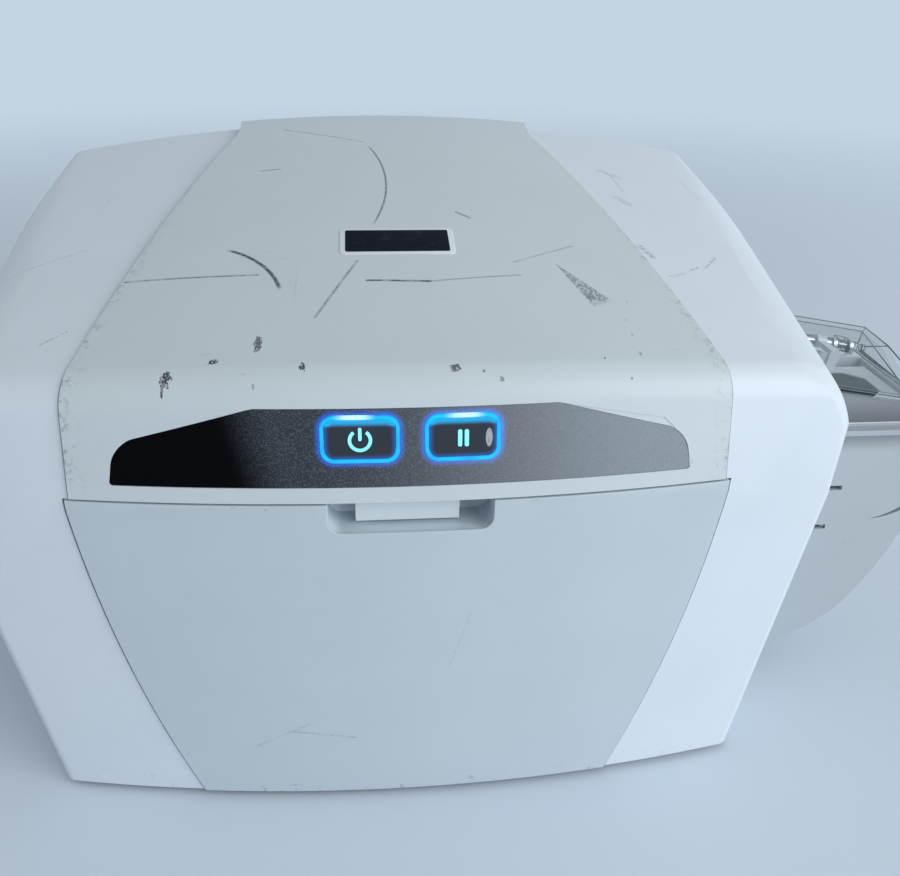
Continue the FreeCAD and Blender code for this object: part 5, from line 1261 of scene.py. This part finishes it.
class PRINTER_OT_hood(bpy.types.Operator):
    """Lays a thin dark bead of painted shade along the clear hood's edges, where clear plastic seen edge on
    looks dark
    """

    bl_idname = "printer.hood"
    bl_label = "Edge the clear hood"

    def execute(self, context):
        bead = body_copy("hopper_cover", "hood_edges")
        edit_all(bead)
        bpy.ops.mesh.dissolve_limited(angle_limit=BEAD_TURN)
        apply(bead, "WIREFRAME", thickness=BEAD_THICK * MM, use_even_offset=False, offset=0.0)
        outward(bead)
        smooth(bead, BEAD_DEGREES)
        finish = moulded("hood_edge_shade", (0.16, 0.21, 0.22), 0.5, 0.30, 0.1)
        finish_piece(bead, finish, "hood")
        return {"FINISHED"}


class PRINTER_OT_signs(bpy.types.Operator):
    """Puts the lit power and pause signs on the two buttons"""

    bl_idname = "printer.signs"
    bl_label = "Light the button signs"

    def execute(self, context):
        size = context.scene.printer_sizes.icon_size
        tilt = math.pi / 2 - LEAN
        line = size * SIGN_LINE_SHARE
        middle = sum(BUTTON_Z) / 2
        power = on_front(sum(POWER_X) / 2, middle, SIGN_LIFT)
        pause = on_front(sum(PAUSE_X) / 2, middle, SIGN_LIFT)
        rise = Vector((0.0, math.sin(LEAN), math.cos(LEAN)))
        ring = ring_sign("power_sign_ring", power, size, line, tilt)
        at = power + rise * size * POWER_RISE_SHARE
        bar = bar_sign("power_sign_bar", at, line, size * POWER_BAR_SHARE, tilt)
        made = [(ring, "power_key"), (bar, "power_key")]
        for side in (-1, 1):
            at = pause + Vector((side * size * PAUSE_ASIDE_SHARE, 0.0, 0.0))
            wide, high = line * PAUSE_LINE_SHARE, size * PAUSE_BAR_SHARE
            piece = bar_sign(f"pause_sign_{side + 2}", at, wide, high, tilt)
            made.append((piece, "pause_key"))
        lit = lit_sign("button_sign_light", (0.20, 0.72, 0.92))
        for piece, body in made:
            finish_piece(piece, lit, body)
        return {"FINISHED"}


class PRINTER_OT_badge(bpy.types.Operator):
    """Lays the bare badge in the middle of the lid's roof"""

    bl_idname = "printer.badge"
    bl_label = "Lay the bare badge"

    def execute(self, context):
        sizes = context.scene.printer_sizes
        size = (sizes.badge_width, sizes.badge_height)
        rim = self.plate("badge_rim", size, BADGE_RIM_THICK * MM, BADGE_RIM_CORNER * MM)
        inner = [side - margin * MM for side, margin in zip(size, BADGE_MARGINS)]
        field = self.plate("badge_field", inner, BADGE_FIELD_THICK * MM, BADGE_FIELD_CORNER * MM)
        bright = moulded("badge_rim_pale", (0.74, 0.79, 0.82), 0.4, 0.26, 0.3)
        dark = soft_rubber("badge_field_dark", (0.010, 0.016, 0.028), 0.66)
        finish_piece(rim, bright, "lid")
        finish_piece(field, dark, "lid")
        return {"FINISHED"}

    def plate(self, name, size, thick, corner):
        """Rounded plate that follows the roof's slope."""
        piece = sheet(name, *size)
        edit_all(piece)
        bpy.ops.mesh.bevel(offset=corner, segments=5, affect="VERTICES")
        bpy.ops.mesh.extrude_region_move(TRANSFORM_OT_translate={"value": (0.0, 0.0, thick)})
        pick_faces(piece, lambda middle, normal: middle.z > thick * 0.99)
        bpy.ops.mesh.bevel(offset=BADGE_EDGE_ROUND * MM, segments=2)
        leave()
        slope = math.atan2(ROOF_HIGH[1] - ROOF_LOW[1], ROOF_HIGH[0] - ROOF_LOW[0])
        piece.rotation_euler = (slope, 0.0, 0.0)
        x, y, z = BADGE_PLACE
        piece.location = (x * MM, y * MM, (z - BADGE_SINK) * MM)
        settle(piece)
        outward(piece)
        smooth(piece, PIECE_DEGREES)
        return piece


class PRINTER_OT_screws(bpy.types.Operator):
    """Sets the screws on the rear panel"""

    bl_idname = "printer.screws"
    bl_label = "Set the screws"

    def execute(self, context):
        head = context.scene.printer_sizes.screw_head
        model = pan_screw("rear_screw_1", head)
        places = [(x, z) for x in SCREW_X for z in SCREW_Z]
        for count, (x, z) in enumerate(places, 1):
            piece = twin(model, f"rear_panel_screw_{count}")
            piece.rotation_euler = (-math.pi / 2, SCREW_TURN * count, 0.0)
            y = (REAR_Y - SCREW_SINK) * MM - head * HEAD_SUNK_SHARE
            piece.location = (x * MM, y, z * MM)
            settle(piece)
            finish_piece(piece, FINISHES["steel"], "housing")
        bpy.data.objects.remove(model)
        return {"FINISHED"}


class PRINTER_OT_stage(bpy.types.Operator):
    """Sets the floor, the lamps, the room light and the camera"""

    bl_idname = "printer.stage"
    bl_label = "Set the stage"

    def execute(self, context):
        colours = context.scene.printer_colours
        lights = context.scene.printer_lights
        bpy.ops.mesh.primitive_plane_add(size=FLOOR_SIZE)
        floor = started("floor")
        floor.data.materials.append(floor_finish("pale_floor", colours.floor))
        floor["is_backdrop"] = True
        self.lamp("key_lamp", *KEY_LAMP, lights.key)
        self.lamp("left_lamp", *LEFT_LAMP, lights.fill * LEFT_LAMP_SHARE)
        self.lamp("right_lamp", *RIGHT_LAMP, lights.fill)
        self.room(context.scene, colours.backdrop, lights.room)
        self.camera(context.scene, lights.lens)
        return {"FINISHED"}

    def lamp(self, name, place, size, power):
        """Square soft lamp that aims at the printer."""
        bpy.ops.object.light_add(type="AREA", location=place)
        lamp = bpy.context.object
        lamp.name = name
        lamp.data.energy = power
        lamp.data.size = size
        lamp.data.color = LAMP_COLOUR
        aim = LAMP_AIM - Vector(place)
        lamp.rotation_euler = aim.to_track_quat("-Z", "Y").to_euler()

    def room(self, scene, colour, strength):
        """Even light from all round, in front of which the backdrop's colour is seen."""
        world = bpy.data.worlds.new("room")
        scene.world = world
        world.use_nodes = True
        tree = world.node_tree
        lit = tree.nodes["Background"]
        lit.inputs[0].default_value = rgba(ROOM_COLOUR)
        lit.inputs[1].default_value = strength
        start = Shade(tree, None)
        seen = start.node("ShaderNodeBackground", None, {0: rgba(colour), 1: 1.0})
        path = tree.nodes.new("ShaderNodeLightPath")
        rays = ("Is Camera Ray", "Is Glossy Ray", "Is Transmission Ray")
        kinds = [Shade(tree, path.outputs[key]) for key in rays]
        which = kinds[0].most(kinds[1]).most(kinds[2])
        inputs = {0: which, 1: Shade(tree, lit.outputs[0]), 2: seen}
        mixed = start.node("ShaderNodeMixShader", None, inputs)
        tree.links.new(mixed.socket, tree.nodes["World Output"].inputs[0])

    def camera(self, scene, lens):
        """Camera that sees the printer as the photograph does."""
        yaw, pitch, roll = (math.radians(angle) for angle in CAMERA_DEGREES)
        level_share = math.cos(pitch)
        ahead = Vector((math.sin(yaw) * level_share, math.cos(yaw) * level_share, -math.sin(pitch)))
        level = Vector((math.cos(yaw), -math.sin(yaw), 0.0))
        over = level.cross(ahead)
        right = level * math.cos(roll) + over * math.sin(roll)
        up = over * math.cos(roll) - level * math.sin(roll)
        turn = Matrix((right, up, -ahead)).transposed().to_4x4()
        bpy.ops.object.camera_add()
        camera = bpy.context.object
        camera.name = "camera"
        camera.matrix_world = Matrix.Translation(CAMERA_PLACE * MM) @ turn
        camera.data.sensor_width = SENSOR_WIDTH
        camera.data.sensor_fit = "HORIZONTAL"
        camera.data.lens = lens
        camera.data.clip_start, camera.data.clip_end = CLIP_METRES
        scene.camera = camera
        scene.view_settings.view_transform = "Standard"


class PRINTER_PT_panel(bpy.types.Panel):
    """Lists the printer's sizes, colours, lights and operators"""

    bl_label = "Card Printer"
    bl_idname = "PRINTER_PT_panel"
    bl_space_type = "VIEW_3D"
    bl_region_type = "UI"
    bl_category = "Card Printer"

    def draw(self, context):
        scene = context.scene
        for group in (scene.printer_colours, scene.printer_sizes, scene.printer_lights):
            box = self.layout.box()
            for key in group.__annotations__:
                box.prop(group, key)
        for step in OPERATORS:
            self.layout.operator(step.bl_idname)


OPERATORS = (
    PRINTER_OT_finishes,
    PRINTER_OT_shells,
    PRINTER_OT_band,
    PRINTER_OT_hood,
    PRINTER_OT_signs,
    PRINTER_OT_badge,
    PRINTER_OT_screws,
    PRINTER_OT_stage,
)

CLASSES = (PrinterColours, PrinterSizes, PrinterLights, *OPERATORS, PRINTER_PT_panel)


def register():
    for kind in CLASSES:
        bpy.utils.register_class(kind)
    bpy.types.Scene.printer_colours = PointerProperty(type=PrinterColours)
    bpy.types.Scene.printer_sizes = PointerProperty(type=PrinterSizes)
    bpy.types.Scene.printer_lights = PointerProperty(type=PrinterLights)


def unregister():
    del bpy.types.Scene.printer_lights
    del bpy.types.Scene.printer_sizes
    del bpy.types.Scene.printer_colours
    for kind in reversed(CLASSES):
        bpy.utils.unregister_class(kind)


def main():
    register()
    bpy.ops.printer.finishes()
    bpy.ops.printer.shells()
    bpy.ops.printer.band()
    bpy.ops.printer.hood()
    bpy.ops.printer.signs()
    bpy.ops.printer.badge()
    bpy.ops.printer.screws()
    bpy.ops.printer.stage()
    sizes = {"cad": cad_box, "visual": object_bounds()}
    for key, corners in sizes.items():
        sizes[key] = [[float(c) for c in corner] for corner in corners]


if __name__ == "__main__":
    main()
